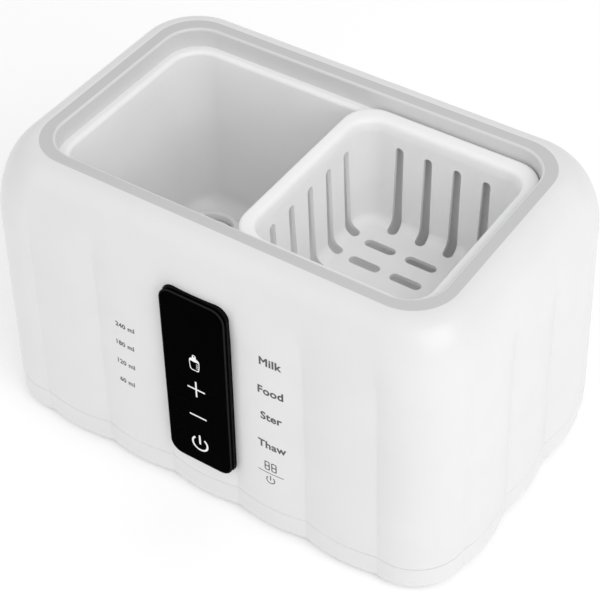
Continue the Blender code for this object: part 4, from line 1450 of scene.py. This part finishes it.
@dataclass
class WaterTank(SubAssembly):
    """The tank: flange, ledge with its rounded edge, drafted walls, floor and sensor ring.

    Attributes:
        skin: The wall's thickness.
        ledge_flat: Width of the flat part of the ledge.
        ledge_round: Radius of its edge.
        flange_out: How far the flange reaches outside the opening.
        flange_r: The flange's corner radius.
        flange_step: Where the flange meets the ledge, outside the opening.
        corner_in: How much tighter the ledge's corner is than the opening's.
        edge_turn: How much tighter the corner gets round the ledge's edge.
        wall_turn: The same down the wall.
        wall_shares: Where the wall's rings stand, from the ledge to the fillet.
        floor_z: Height of the floor.
        fillet: Radius between wall and floor.
        fillet_r: The corner's radius where the fillet starts.
        fillet_turn: How much tighter it gets down to the floor.
        draft: How much the wall closes in for its depth.
        plate: Half width, half depth and corner radius of the heating plate's window.
        sensor: Middle of the sensor's ring.
        sensor_r: Radius of the sensor's hole.
        hole_low: How far the holes' cutters reach below the floor.
        hole_high: The same above it.
        lean_in: How far the upper wall leans in.
        lean_depth: Over how much depth it does so.
        ring_r: The sensor ring's outer radius.
        ring_inner_r: Its inner radius.
        ring_edge: The radius of its top edges.
        ring_top: The height of its top.
    """

    skin: float = 0.0022
    ledge_flat: float = 0.0022
    ledge_round: float = 0.0021
    flange_out: float = 0.0120
    flange_r: float = 0.0240
    flange_step: float = 0.0005
    corner_in: float = 0.0020
    edge_turn: float = 0.0010
    wall_turn: float = 0.0005
    wall_shares: tuple[float, ...] = (0.01, 0.03, 0.06, 0.10, 0.15, 0.22, 0.32, 0.5, 0.75, 0.97)
    floor_z: float = 0.0450
    fillet: float = 0.0080
    fillet_r: float = 0.0130
    fillet_turn: float = 0.0030
    draft: float = math.tan(math.radians(0.6))
    plate: tuple[float, float, float] = (0.0520, 0.0240, 0.0160)
    sensor: Point2 = (-0.0676, 0.0242)
    sensor_r: float = 0.0078
    hole_low: float = 0.006
    hole_high: float = 0.004
    lean_in: float = 0.0008
    lean_depth: float = 0.0080
    ring_r: float = 0.0136
    ring_inner_r: float = 0.0108
    ring_edge: float = 0.0009
    ring_top: float = 0.0510

    def ring(self, inset: float, z: float, radius: float) -> list[Vector]:
        """Return one ring, the inset measured inward from the top opening."""
        outline = rounded_outline(FORM.opening_x - inset, FORM.opening_y - inset, radius, 16)
        return level_ring(shifted(outline, 0.0, SHIFT_Y), z)

    def wall_inset(self, z: float) -> float:
        """Measure how far the wall stands inside the opening, its upper part leaning in.

        Args:
            z: The height.

        Returns:
            The distance.
        """
        depth = LEDGE_Z - self.ledge_round - z
        lean = self.lean_in * (1.0 - math.exp(-depth / self.lean_depth))
        return self.ledge_flat + self.ledge_round + lean + (LEDGE_Z - z) * self.draft

    def rings(self) -> list[list[Vector]]:
        """Set out the rings from the flange in and down to the floor.

        Returns:
            The rings.
        """
        corner, before_edge, steps = FORM.opening_r - self.corner_in, 0.8, 7
        rings = [self.ring(-self.flange_out, LEDGE_Z, self.flange_r),
                 self.ring(-self.flange_step, LEDGE_Z, FORM.opening_r),
                 self.ring(self.ledge_flat * before_edge, LEDGE_Z, corner + 0.0002)]
        start, foot_z = LEDGE_Z - self.ledge_round, self.floor_z + self.fillet
        edge = arc((self.ledge_flat, start), self.ledge_round, 90.0, 0.0, steps)
        rings += [self.ring(inset, z, corner - self.edge_turn * k / steps)
                  for k, (inset, z) in enumerate(edge)]
        for share in self.wall_shares:
            z = start + (foot_z - start) * share
            radius = corner - self.edge_turn - self.wall_turn * share
            rings.append(self.ring(self.wall_inset(z), z, radius))
        foot_in = self.wall_inset(foot_z)
        for inset, z in arc((foot_in + self.fillet, foot_z), self.fillet, 180.0, 270.0, 10):
            turn = self.fillet_turn * (inset - foot_in) / self.fillet
            rings.append(self.ring(inset, z, self.fillet_r - turn))
        return rings

    def build(self) -> None:
        """Build the tank."""
        finish = FINISHES[Slot.TANK]
        tank = loft("tank_shell", self.rings(), cap_end=True)
        solid_wall(tank, self.skin)
        spot = Matrix.Translation((self.sensor[0], self.sensor[1] + SHIFT_Y, 0.0))
        edge = self.ring_edge
        rounded = arc((self.ring_r - edge, self.ring_top - edge), edge, 0.0, 90.0, 5)
        ring = place(turned("ring", [(self.ring_r, self.floor_z - OVERCUT)] + rounded, 56), spot)
        hollow = arc((self.ring_inner_r + edge, self.ring_top - edge), edge, 180.0, 90.0, 5)
        hollow.append((self.ring_inner_r + edge, self.ring_top + OVERCUT))
        well = place(turned("well", [(self.ring_inner_r, self.floor_z)] + hollow, 56), spot)
        low, high = self.floor_z - self.hole_low, self.floor_z + self.hole_high
        hole = place(turned("hole", [(self.sensor_r, low), (self.sensor_r, high)]), spot)
        wide, deep, corner = self.plate
        window = prism("window", rounded_outline(wide + GAP, deep + GAP, corner), low, high)
        place(window, Matrix.Translation((0.0, SHIFT_Y, 0.0)))
        combine(tank, [ring], "UNION")
        combine(tank, [well, hole, window], "DIFFERENCE")
        bake(tank, [ring, well, hole, window])
        self.mount(smooth(tank), finish, Slot.TANK, ("water_tank",))


@dataclass
class SteamBasket(SubAssembly):
    """The lift-out basket with bent slots down its walls and rows of slots in its floor.

    Attributes:
        body: The body that it rides on.
        centre_x: Where its middle stands.
        half_x: Half its width at the rim.
        half_y: Half its depth, front to back.
        corner: The rim's corner radius.
        top_z: Height of the rim's top.
        depth: From there down to the floor.
        skin: The wall's thickness.
        skirt: How far the rim's outer edge hangs down.
        skirt_top: Where the skirt ends and the rim's edge begins, below the top.
        fillet: Radius between wall and floor.
        wall_inset: How far the wall's foot stands inside the rim's outside.
        rim_shares: Width of the rim at its left, right, front and back, as shares.
        slot_top: How far below the top the wall slots end.
        slot_top_r: Their radius there.
        slot_foot_r: Their radius at the floor.
        slot_reach: How far they run in under the floor.
        slot_low: How far the slots' cutters reach below the floor.
        slot_cut: From where inside a wall to where outside it their cutters reach.
        foot_half: Half the length of the cutter under the floor.
        foot_rise: How far above the floor it starts.
        floor_slot: Length and width of a floor slot.
        floor_rows: Floor slots side by side, and rows of them.
        floor_rise: How far a floor slot's cutter reaches above the floor.
        side_pitch: From slot to slot in the left and right walls.
        end_pitch: The same in the front and back walls.
        floor_pitch: From slot to slot in the floor, along X and along Y.
        floor_shift: How far the floor slots stand off the middle.
    """

    body: Body = Body.BASKET
    centre_x: float = 0.0466
    half_x: float = 0.0466
    half_y: float = 0.0512
    corner: float = 0.0142
    top_z: float = 0.1370
    depth: float = 0.0545
    skin: float = 0.0018
    skirt: float = 0.0030
    skirt_top: float = 0.0021
    fillet: float = 0.0050
    wall_inset: float = 0.0079
    rim_shares: tuple[float, float, float, float] = (1.0, 0.9, 0.85, 1.25)
    slot_top: float = 0.0105
    slot_top_r: float = 0.0020
    slot_foot_r: float = 0.0025
    slot_reach: float = 0.0058
    slot_low: float = 0.0060
    slot_cut: Point2 = (-0.0030, 0.0072)
    foot_half: float = 0.0085
    foot_rise: float = 0.0055
    floor_slot: Point2 = (0.0155, 0.0048)
    floor_rows: tuple[int, int] = (3, 5)
    floor_rise: float = 0.004
    side_pitch: float = 0.0140
    end_pitch: float = 0.01425
    floor_pitch: Point2 = (0.0209, 0.0131)
    floor_shift: Point2 = (0.0005, -0.0004)

    def ring(self, inset: float, drop: float) -> list[Vector]:
        """Set out one ring.

        Args:
            inset: How far it stands inside the rim's outside.
            drop: How far it lies below the rim's top.

        Returns:
            The ring.
        """
        left, right, front, back = self.rim_shares
        outline = rounded_outline(self.half_x - inset * (left + right) / 2.0,
                                  self.half_y - inset * (front + back) / 2.0,
                                  self.corner - 0.5 * inset, 14)
        return level_ring(shifted(outline, inset * (left - right) / 2.0,
                                  inset * (front - back) / 2.0), -drop)

    def profile(self) -> list[Point2]:
        """Set out the section from the skirt's edge over the rim and down to the floor.

        Returns:
            How far each point stands inside the rim's outside and below its top.
        """
        rim = [(0.0, 0.0012), (0.0004, 0.0004), (0.0013, 0.0), (0.0030, 0.0), (0.0044, 0.0001),
               (0.0055, 0.0005), (0.0062, 0.0015), (0.0066, 0.0032), (0.0069, 0.0055)]
        points = [(0.0, self.skirt), (0.0, self.skirt_top)] + flowing(rim, 3)
        turn = self.depth - self.fillet
        rim_in, rim_drop = rim[-1]
        for share in (0.33, 0.66):
            points.append((rim_in + (self.wall_inset - rim_in) * share,
                           rim_drop + (turn - rim_drop) * share))
        centre = (self.wall_inset + self.fillet, turn)
        return points + arc(centre, self.fillet, 180.0, 90.0, 8)

    def wall_slot(self, reach: float) -> bpy.types.Object:
        """Return one bent slot's solid: a tapered upright cut and a flat one under the floor.

        Args:
            reach: Distance from the basket's middle to the wall, along +X.

        Returns:
            The solid, placed at the wall.
        """
        low = self.depth + self.slot_low
        top = self.slot_top + self.slot_top_r
        slope = (self.slot_foot_r - self.slot_top_r) / (self.depth - top)
        end = self.slot_top_r + slope * (low - top)
        crown = arc((top, 0.0), self.slot_top_r, 90.0, 270.0, 12)
        upright = prism("upright", [(low, -end), (low, end)] + crown, *self.slot_cut)
        turn = Matrix(((0, 0, 1, reach), (0, 1, 0, 0), (-1, 0, 0, 0), (0, 0, 0, 1)))
        place(upright, turn)
        foot = prism("foot", stadium(self.foot_half, self.slot_foot_r), -low,
                     -(self.depth - self.foot_rise))
        place(foot, Matrix.Translation((reach - self.slot_reach + self.foot_half, 0.0, 0.0)))
        combine(upright, [foot], "UNION")
        return bake(upright, [foot])

    def cutters(self) -> list[bpy.types.Object]:
        """Make the cutters of all the slots.

        Returns:
            One solid for each wall, and one for the floor.
        """
        finish = FINISHES[Slot.BASKET]
        left, right, front, back = self.rim_shares
        walls = ((0.0, self.half_x - self.wall_inset * right, 5, self.side_pitch),
                 (180.0, self.half_x - self.wall_inset * left, 5, self.side_pitch),
                 (90.0, self.half_y - self.wall_inset * back, 4, self.end_pitch),
                 (270.0, self.half_y - self.wall_inset * front, 4, self.end_pitch))
        cuts = []
        for angle, reach, count, pitch in walls:
            row = self.repeated(self.wall_slot(reach), count, 1, Vector((0, pitch, 0)),
                                Vector((0, 0, 0)), finish)
            cuts.append(place(row, Matrix.Rotation(math.radians(angle), 4, "Z")))
        length, width = self.floor_slot
        slot = prism("floor_slots", stadium(length / 2, width / 2),
                     -self.depth - self.slot_low, -self.depth + self.floor_rise)
        rows = self.repeated(slot, *self.floor_rows, Vector((self.floor_pitch[0], 0, 0)),
                             Vector((0, self.floor_pitch[1], 0)), finish)
        cuts.append(place(rows, Matrix.Translation((*self.floor_shift, 0.0))))
        return cuts

    def build(self) -> None:
        """Build the basket."""
        basket = loft("basket_shell", [self.ring(*point) for point in self.profile()],
                      cap_end=True)
        solid_wall(basket, self.skin)
        cuts = self.cutters()
        combine(basket, cuts, "DIFFERENCE")
        bake(basket, cuts)
        place(basket, Matrix.Translation((self.centre_x, SHIFT_Y, self.top_z)))
        self.mount(smooth(basket), FINISHES[Slot.BASKET], Slot.BASKET, ("steam_basket",))


@dataclass
class ControlPanel(SubAssembly):
    """The leaning glass panel with its printed keys.

    Attributes:
        width: The glass's width.
        height: Its height.
        corner: Its corner radius.
        glass: Its thickness.
        edge: Width of its ground edge.
        arris: Width of the broken corners behind and in front of that edge.
        ink: Thickness of the print.
        middle: Middle of the glass.
        lean: Its lean, in radians.
        keys: Heights of the four keys above the middle.
        plus: Size and stroke of the plus sign.
        minus: Half the length and half the stroke of the minus sign.
        power: Radius and stroke of the power sign.
    """

    width: float = 0.0326
    height: float = 0.0962
    corner: float = 0.0062
    glass: float = 0.0016
    edge: float = 0.0005
    arris: float = 0.0002
    ink: float = 0.00004
    middle: tuple[float, float, float] = (0.0010, -0.0786, 0.0725)
    lean: float = -math.atan(2.0 / 97.0)
    keys: tuple[float, float, float, float] = (0.0129, -0.0026, -0.0190, -0.0359)
    plus: Point2 = (0.0090, 0.0008)
    minus: Point2 = (0.0045, 0.0004)
    power: Point2 = (0.0039, 0.00095)

    def frame(self, depth: float, x: float = 0.0, z: float = 0.0) -> Matrix:
        """Return the place of a flat piece whose z = 0 lies at a depth behind the glass front."""
        at = (self.middle[0], self.middle[1] + SHIFT_Y, self.middle[2])
        return (Matrix.Translation(at) @ Matrix.Rotation(self.lean, 4, "X")
                @ Matrix.Translation((x, depth, z)) @ Matrix.Rotation(math.pi / 2.0, 4, "X"))

    def build_glass(self) -> None:
        """Build the glass with its ground edge."""
        front = self.glass - self.ink
        steps = [(self.arris, 0.0), (0.0, self.arris), (0.0, front - self.edge)]
        steps += [(self.edge - x, z) for x, z in arc((0.0, front - self.edge), self.edge,
                                                     22.5, 90.0, 3)]
        steps.append((self.edge + self.arris, front))
        rings = [level_ring(rounded_outline(self.width / 2 - inset, self.height / 2 - inset,
                                            self.corner - inset, 14), z) for inset, z in steps]
        glass = place(loft("panel_glass", rings, True, True), self.frame(self.glass))
        tone = glass.data.attributes.new("ground_edge", "FLOAT", "POINT")
        ground = [float(z > front - self.edge and inset <= self.edge) for inset, z in steps]
        tone.data.foreach_set("value", [level for level in ground for _ in rings[0]])
        self.mount(smooth(glass), FINISHES[Slot.GLASS], Slot.GLASS, ("control_glass",))

    def build_keys(self) -> None:
        """Build the printed marks of the four keys."""
        bottle, plus, minus, power = self.keys
        marks = [(bottle_mark(), bottle), ([plus_mark(*self.plus)], plus),
                 ([stadium(*self.minus, 4)], minus), (power_mark(*self.power), power)]
        parts = []
        for outlines, z in marks:
            part = flat_solid("mark", outlines, self.ink)
            parts.append(place(part, self.frame(self.ink / 2.0, 0.0, z)))
        self.mount(joined("key_marks", parts), WHITE_INK, None)

    def build(self) -> None:
        """Build glass and marks."""
        self.build_glass()
        self.build_keys()


def plus_mark(size: float, stroke: float) -> Outline:
    """Return a plus sign."""
    a, b = size / 2.0, stroke / 2.0
    return [(b, b), (b, a), (-b, a), (-b, b), (-a, b), (-a, -b), (-b, -b), (-b, -a),
            (b, -a), (b, -b), (a, -b), (a, b)]


def power_mark(radius: float, stroke: float) -> list[Outline]:
    """Draw a power sign: an open ring and a bar in its gap.

    Args:
        radius: The ring's radius, in the middle of its stroke.
        stroke: The stroke's width.

    Returns:
        The outlines of ring and bar.
    """
    gap = 38.0
    outer = arc((0.0, 0.0), radius + stroke / 2, 90.0 + gap, 450.0 - gap, 36)
    inner = arc((0.0, 0.0), radius - stroke / 2, 450.0 - gap, 90.0 + gap, 36)
    bar = rounded_outline(stroke / 2, radius * 0.72, stroke * 0.35, 3)
    return [outer + inner, shifted(bar, 0.0, radius * 0.62)]


def bottle_mark() -> list[Outline]:
    """Draw a feeding bottle: a body with a filled shoulder, a teat and measuring lines.

    Returns:
        Its outlines.
    """
    half = flowing([(0.0, -0.0044), (0.0014, -0.0044), (0.0022, -0.0038), (0.0025, -0.0020),
                    (0.0026, 0.0008), (0.0022, 0.0020), (0.0010, 0.0028), (0.0010, 0.0036),
                    (0.0007, 0.0043), (0.0, 0.0046)])
    inside = flowing([(0.0, -0.0039), (0.0012, -0.0039), (0.0018, -0.0034), (0.0021, -0.0018),
                      (0.0021, 0.0006), (0.0, 0.0006)])
    shapes = [points + [(-x, y) for x, y in reversed(points[1:-1])] for points in (half, inside)]
    shapes.append(circle(0.0004, 12, (0.0, 0.0037)))
    for k in range(3):
        shapes.append(shifted(rounded_outline(0.0005, 0.00018, 0.0001, 2), 0.0014,
                              -0.0026 + 0.0011 * k))
    return shapes


@dataclass
class WallPrint(SubAssembly):
    """The grey lettering and marks printed on the front wall, following its lobes.

    Attributes:
        thickness: The print's thickness.
        slice: Width of the strips that let it follow the wall.
        amount_size: Type size of the amounts.
        word_size: Type size of the words.
        amount_weight: How far the amounts' strokes are fattened.
        word_weight: The same for the words.
        word_x: Middle of the column of words.
        amounts: Each amount with its place across and up the wall.
        words: Each word with its height.
        display: Place of the mark of two digits.
        rule: Place of the line under it.
        rule_size: Half the length and half the stroke of that line.
        power: Place of the power sign.
        power_size: Radius and stroke of the power sign.
    """

    thickness: float = 0.00006
    slice: float = 0.0010
    amount_size: float = 0.0036
    word_size: float = 0.0059
    amount_weight: float = 0.00009
    word_weight: float = 0.00016
    word_x: float = 0.0378
    amounts: tuple[tuple[str, float, float], ...] = (
        ("240 ml", -0.0364, 0.0849), ("180 ml", -0.0375, 0.0740), ("120 ml", -0.0380, 0.0626),
        ("60 ml", -0.0382, 0.0515))
    words: tuple[tuple[str, float], ...] = (
        ("Milk", 0.1033), ("Food", 0.0869), ("Ster", 0.0721), ("Thaw", 0.0551))
    display: Point2 = (0.0370, 0.0425)
    rule: Point2 = (0.0370, 0.0382)
    rule_size: Point2 = (0.0064, 0.00018)
    power: Point2 = (0.0369, 0.0342)
    power_size: Point2 = (0.0020, 0.0005)

    def wrap(self, obj: bpy.types.Object, x: float, z: float) -> bpy.types.Object:
        """Lay a flat solid on the front wall.

        Args:
            obj: The solid in XY, its face towards +Z.
            x: Where its middle goes across the wall.
            z: Where its middle goes up the wall.

        Returns:
            The same object.
        """
        bm = bmesh.new()
        bm.from_mesh(obj.data)
        reach = int(max(abs(v.co.x) for v in bm.verts) / self.slice) + 1
        for k in range(-reach, reach + 1):
            parts = bm.verts[:] + bm.edges[:] + bm.faces[:]
            bmesh.ops.bisect_plane(bm, geom=parts, dist=MERGE, plane_co=(k * self.slice, 0.0, 0.0),
                                   plane_no=(1.0, 0.0, 0.0))
        for vertex in bm.verts:
            px, pz = x + vertex.co.x, z + vertex.co.y
            vertex.co = (px, FORM.front_y(px, pz) - vertex.co.z, pz)
        bm.to_mesh(obj.data)
        bm.free()
        return obj

    def display_mark(self) -> list[Outline]:
        """Draw two seven-segment digits in outline.

        Returns:
            Their outlines.
        """
        half_pitch, half_window = 0.0017, 0.0012
        shapes = []
        for x in (-half_pitch, half_pitch):
            shapes.append(shifted(rounded_outline(0.0013, 0.0026, 0.0006, 4), x, 0.0))
            for y in (-half_window, half_window):
                shapes.append(shifted(rounded_outline(0.0008, 0.0009, 0.0003, 3), x, y))
        return shapes

    def build(self) -> None:
        """Build both columns of print."""
        parts = []
        for text, x, z in self.amounts:
            line = lettering(text, self.amount_size, self.thickness, self.amount_weight)
            parts.append(self.wrap(line, x, z))
        self.mount(joined("amount_print", parts), GREY_INK, None)
        parts = []
        for text, z in self.words:
            line = lettering(text, self.word_size, self.thickness, self.word_weight)
            parts.append(self.wrap(line, self.word_x, z))
        for outlines, spot in ((self.display_mark(), self.display),
                               ([stadium(*self.rule_size, 3)], self.rule),
                               (power_mark(*self.power_size), self.power)):
            parts.append(self.wrap(flat_solid("mark", outlines, self.thickness), *spot))
        self.mount(joined("mode_print", parts), GREY_INK, None)


@dataclass
class RearInlet(SubAssembly):
    """The two-pin mains inlet in the rear wall.

    Attributes:
        width: The flange's width.
        height: Its height.
        corner: Its corner radius.
        flange: Its thickness.
        core: Half width, half height and corner radius of the body behind it.
        body_depth: How far that body reaches in.
        mouth_depth: How deep the mouth is.
        face_y: Where the flange's face lies.
        face_z: Height of its middle.
        pin_x: Where the pins stand, either side of the middle.
        lobe_r: Radius of the mouth round each pin.
        bore_r: Radius of the holes for the pins.
        bore_z: Inner and outer end of those holes' cutters.
    """

    width: float = 0.0260
    height: float = 0.0160
    corner: float = 0.0020
    flange: float = 0.0020
    core: tuple[float, float, float] = (0.0105, 0.0055, 0.0010)
    body_depth: float = 0.0180
    mouth_depth: float = 0.0130
    face_y: float = 0.0790
    face_z: float = 0.0310
    pin_x: float = 0.0043
    lobe_r: float = 0.0044
    bore_r: float = 0.0015
    bore_z: Point2 = (-0.0300, -0.0050)

    def frame(self) -> Matrix:
        """Return the place of a flat piece whose z = 0 is the flange's face, +Z outward."""
        return Matrix(((-1, 0, 0, 0), (0, 0, 1, self.face_y + SHIFT_Y),
                       (0, 1, 0, self.face_z), (0, 0, 0, 1)))

    def socket_outline(self) -> Outline:
        """Return the figure-eight mouth."""
        half = arc((self.pin_x, 0.0), self.lobe_r, -132.0, 132.0, 26)
        return half + [(-x, -y) for x, y in half]

    def build(self) -> None:
        """Build the inlet."""
        steps = [(0.0, -self.flange), (0.0, -0.0005), (0.0002, -0.0001), (0.0005, 0.0)]
        rings = [level_ring(rounded_outline(self.width / 2 - inset, self.height / 2 - inset,
                                            self.corner - inset, 6), z) for inset, z in steps]
        inlet = loft("mains_inlet", rings, True, True)
        body = prism("inlet_body", rounded_outline(*self.core, 4), -self.body_depth,
                     -self.flange / 2.0)
        mouth = prism("inlet_mouth", self.socket_outline(), -self.mouth_depth, OVERCUT)
        bore = turned("bores", [(self.bore_r, z) for z in self.bore_z], 16)
        bores = self.repeated(bore, 2, 1, Vector((2 * self.pin_x, 0, 0)), Vector((0, 0, 0)),
                              FINISHES[Slot.DARK])
        combine(inlet, [body], "UNION")
        combine(inlet, [mouth, bores], "DIFFERENCE")
        bake(inlet, [body, mouth, bores])
        place(inlet, self.frame())
        self.mount(smooth(inlet), FINISHES[Slot.DARK], Slot.DARK, ("power_inlet",))


# ---------------------------------------------------------------- studio

@dataclass
class Studio:
    """Floor, soft lights, sky and camera.

    Attributes:
        materials: The finishes.
        azimuth: The camera's direction, from the front towards the right, in radians.
        elevation: Its height above level, in radians.
        roll: Its roll, in radians.
        eye: Its place.
        lens: Its focal length, in millimetres.
        sensor: Its sensor's width, in millimetres.
        shift: Its shift, across and up.
        clip: The nearest and the farthest that it sees.
        sky: Strength of the white sky.
        aim: The point that the lights face.
        lamps: Each soft light's name, place, size and power.
        reach: Half the floor's width.
    """

    materials: Materials
    azimuth: float = math.radians(34.41)
    elevation: float = math.radians(43.74)
    roll: float = math.radians(-1.34)
    eye: tuple[float, float, float] = (0.3191, -0.4544, 0.5873)
    lens: float = 102.44
    shift: Point2 = (-0.0232, 0.0047)
    sky: float = 0.72
    sensor: float = 36.0
    clip: Point2 = (0.01, 20.0)
    aim: tuple[float, float, float] = (0.0, 0.0, 0.07)
    lamps: tuple[tuple[str, tuple[float, float, float], float, float], ...] = (
        ("front", (-0.9, -1.0, 1.1), 1.2, 2.2), ("right", (1.2, -0.45, 1.15), 1.2, 10.5),
        ("top", (0.0, 0.4, 1.5), 1.4, 0.6))
    reach: float = 4.0

    def camera(self) -> None:
        """Make the scene's camera."""
        data = bpy.data.cameras.new("camera")
        data.sensor_width = self.sensor
        data.lens = self.lens
        data.shift_x, data.shift_y = self.shift
        data.clip_start, data.clip_end = self.clip
        back = Vector((math.sin(self.azimuth) * math.cos(self.elevation),
                       -math.cos(self.azimuth) * math.cos(self.elevation),
                       math.sin(self.elevation)))
        level = Vector((0.0, 0.0, 1.0)).cross(back).normalized()
        rise = back.cross(level)
        turn, lift = math.cos(self.roll), math.sin(self.roll)
        right, up = turn * level + lift * rise, turn * rise - lift * level
        matrix = Matrix((right, up, back)).transposed().to_4x4()
        matrix.translation = self.eye
        obj = bpy.data.objects.new("camera", data)
        bpy.context.scene.collection.objects.link(obj)
        obj.matrix_world = matrix
        bpy.context.scene.camera = obj

    def floor(self) -> None:
        """Make the plain floor."""
        bm = bmesh.new()
        bmesh.ops.create_grid(bm, x_segments=4, y_segments=4, size=self.reach)
        floor = mesh_of("floor", bm)
        floor.data.materials.append(self.materials.of(FLOOR_FINISH))

    def softbox(self, name: str, spot: tuple[float, float, float], size: float,
                power: float) -> None:
        """Make a square soft light that faces the warmer.

        Args:
            name: The light's name.
            spot: Its place.
            size: The length of its sides.
            power: Its power, in watts.
        """
        data = bpy.data.lights.new(name, "AREA")
        data.size = size
        data.energy = power
        light = bpy.data.objects.new(name, data)
        bpy.context.scene.collection.objects.link(light)
        light.location = spot
        direction = Vector(self.aim) - Vector(spot)
        light.rotation_euler = direction.to_track_quat("-Z", "Y").to_euler()

    def build(self) -> None:
        """Build the studio."""
        scene = bpy.context.scene
        scene.view_settings.view_transform = "Standard"
        world = scene.world or bpy.data.worlds.new("sky")
        scene.world = world
        world.use_nodes = True
        sky = world.node_tree.nodes["Background"]
        sky.inputs["Color"].default_value = (1.0, 1.0, 1.0, 1.0)
        sky.inputs["Strength"].default_value = self.sky
        for lamp in self.lamps:
            self.softbox(*lamp)
        self.floor()
        self.camera()


def main() -> None:
    """Build everything in order."""
    logging.basicConfig(level=logging.INFO, format="%(message)s")
    TREES["lattice"] = lattice_tree()
    TREES["scallops"] = scallop_tree()
    materials = Materials()
    materials.dress_cad()
    Studio(materials).build()
    for assembly in (Housing, BaseTray, WaterTank, SteamBasket, ControlPanel, WallPrint,
                     RearInlet):
        assembly(materials).build()
        LOG.info("%s built", assembly.__name__)


if __name__ == "__main__":
    main()
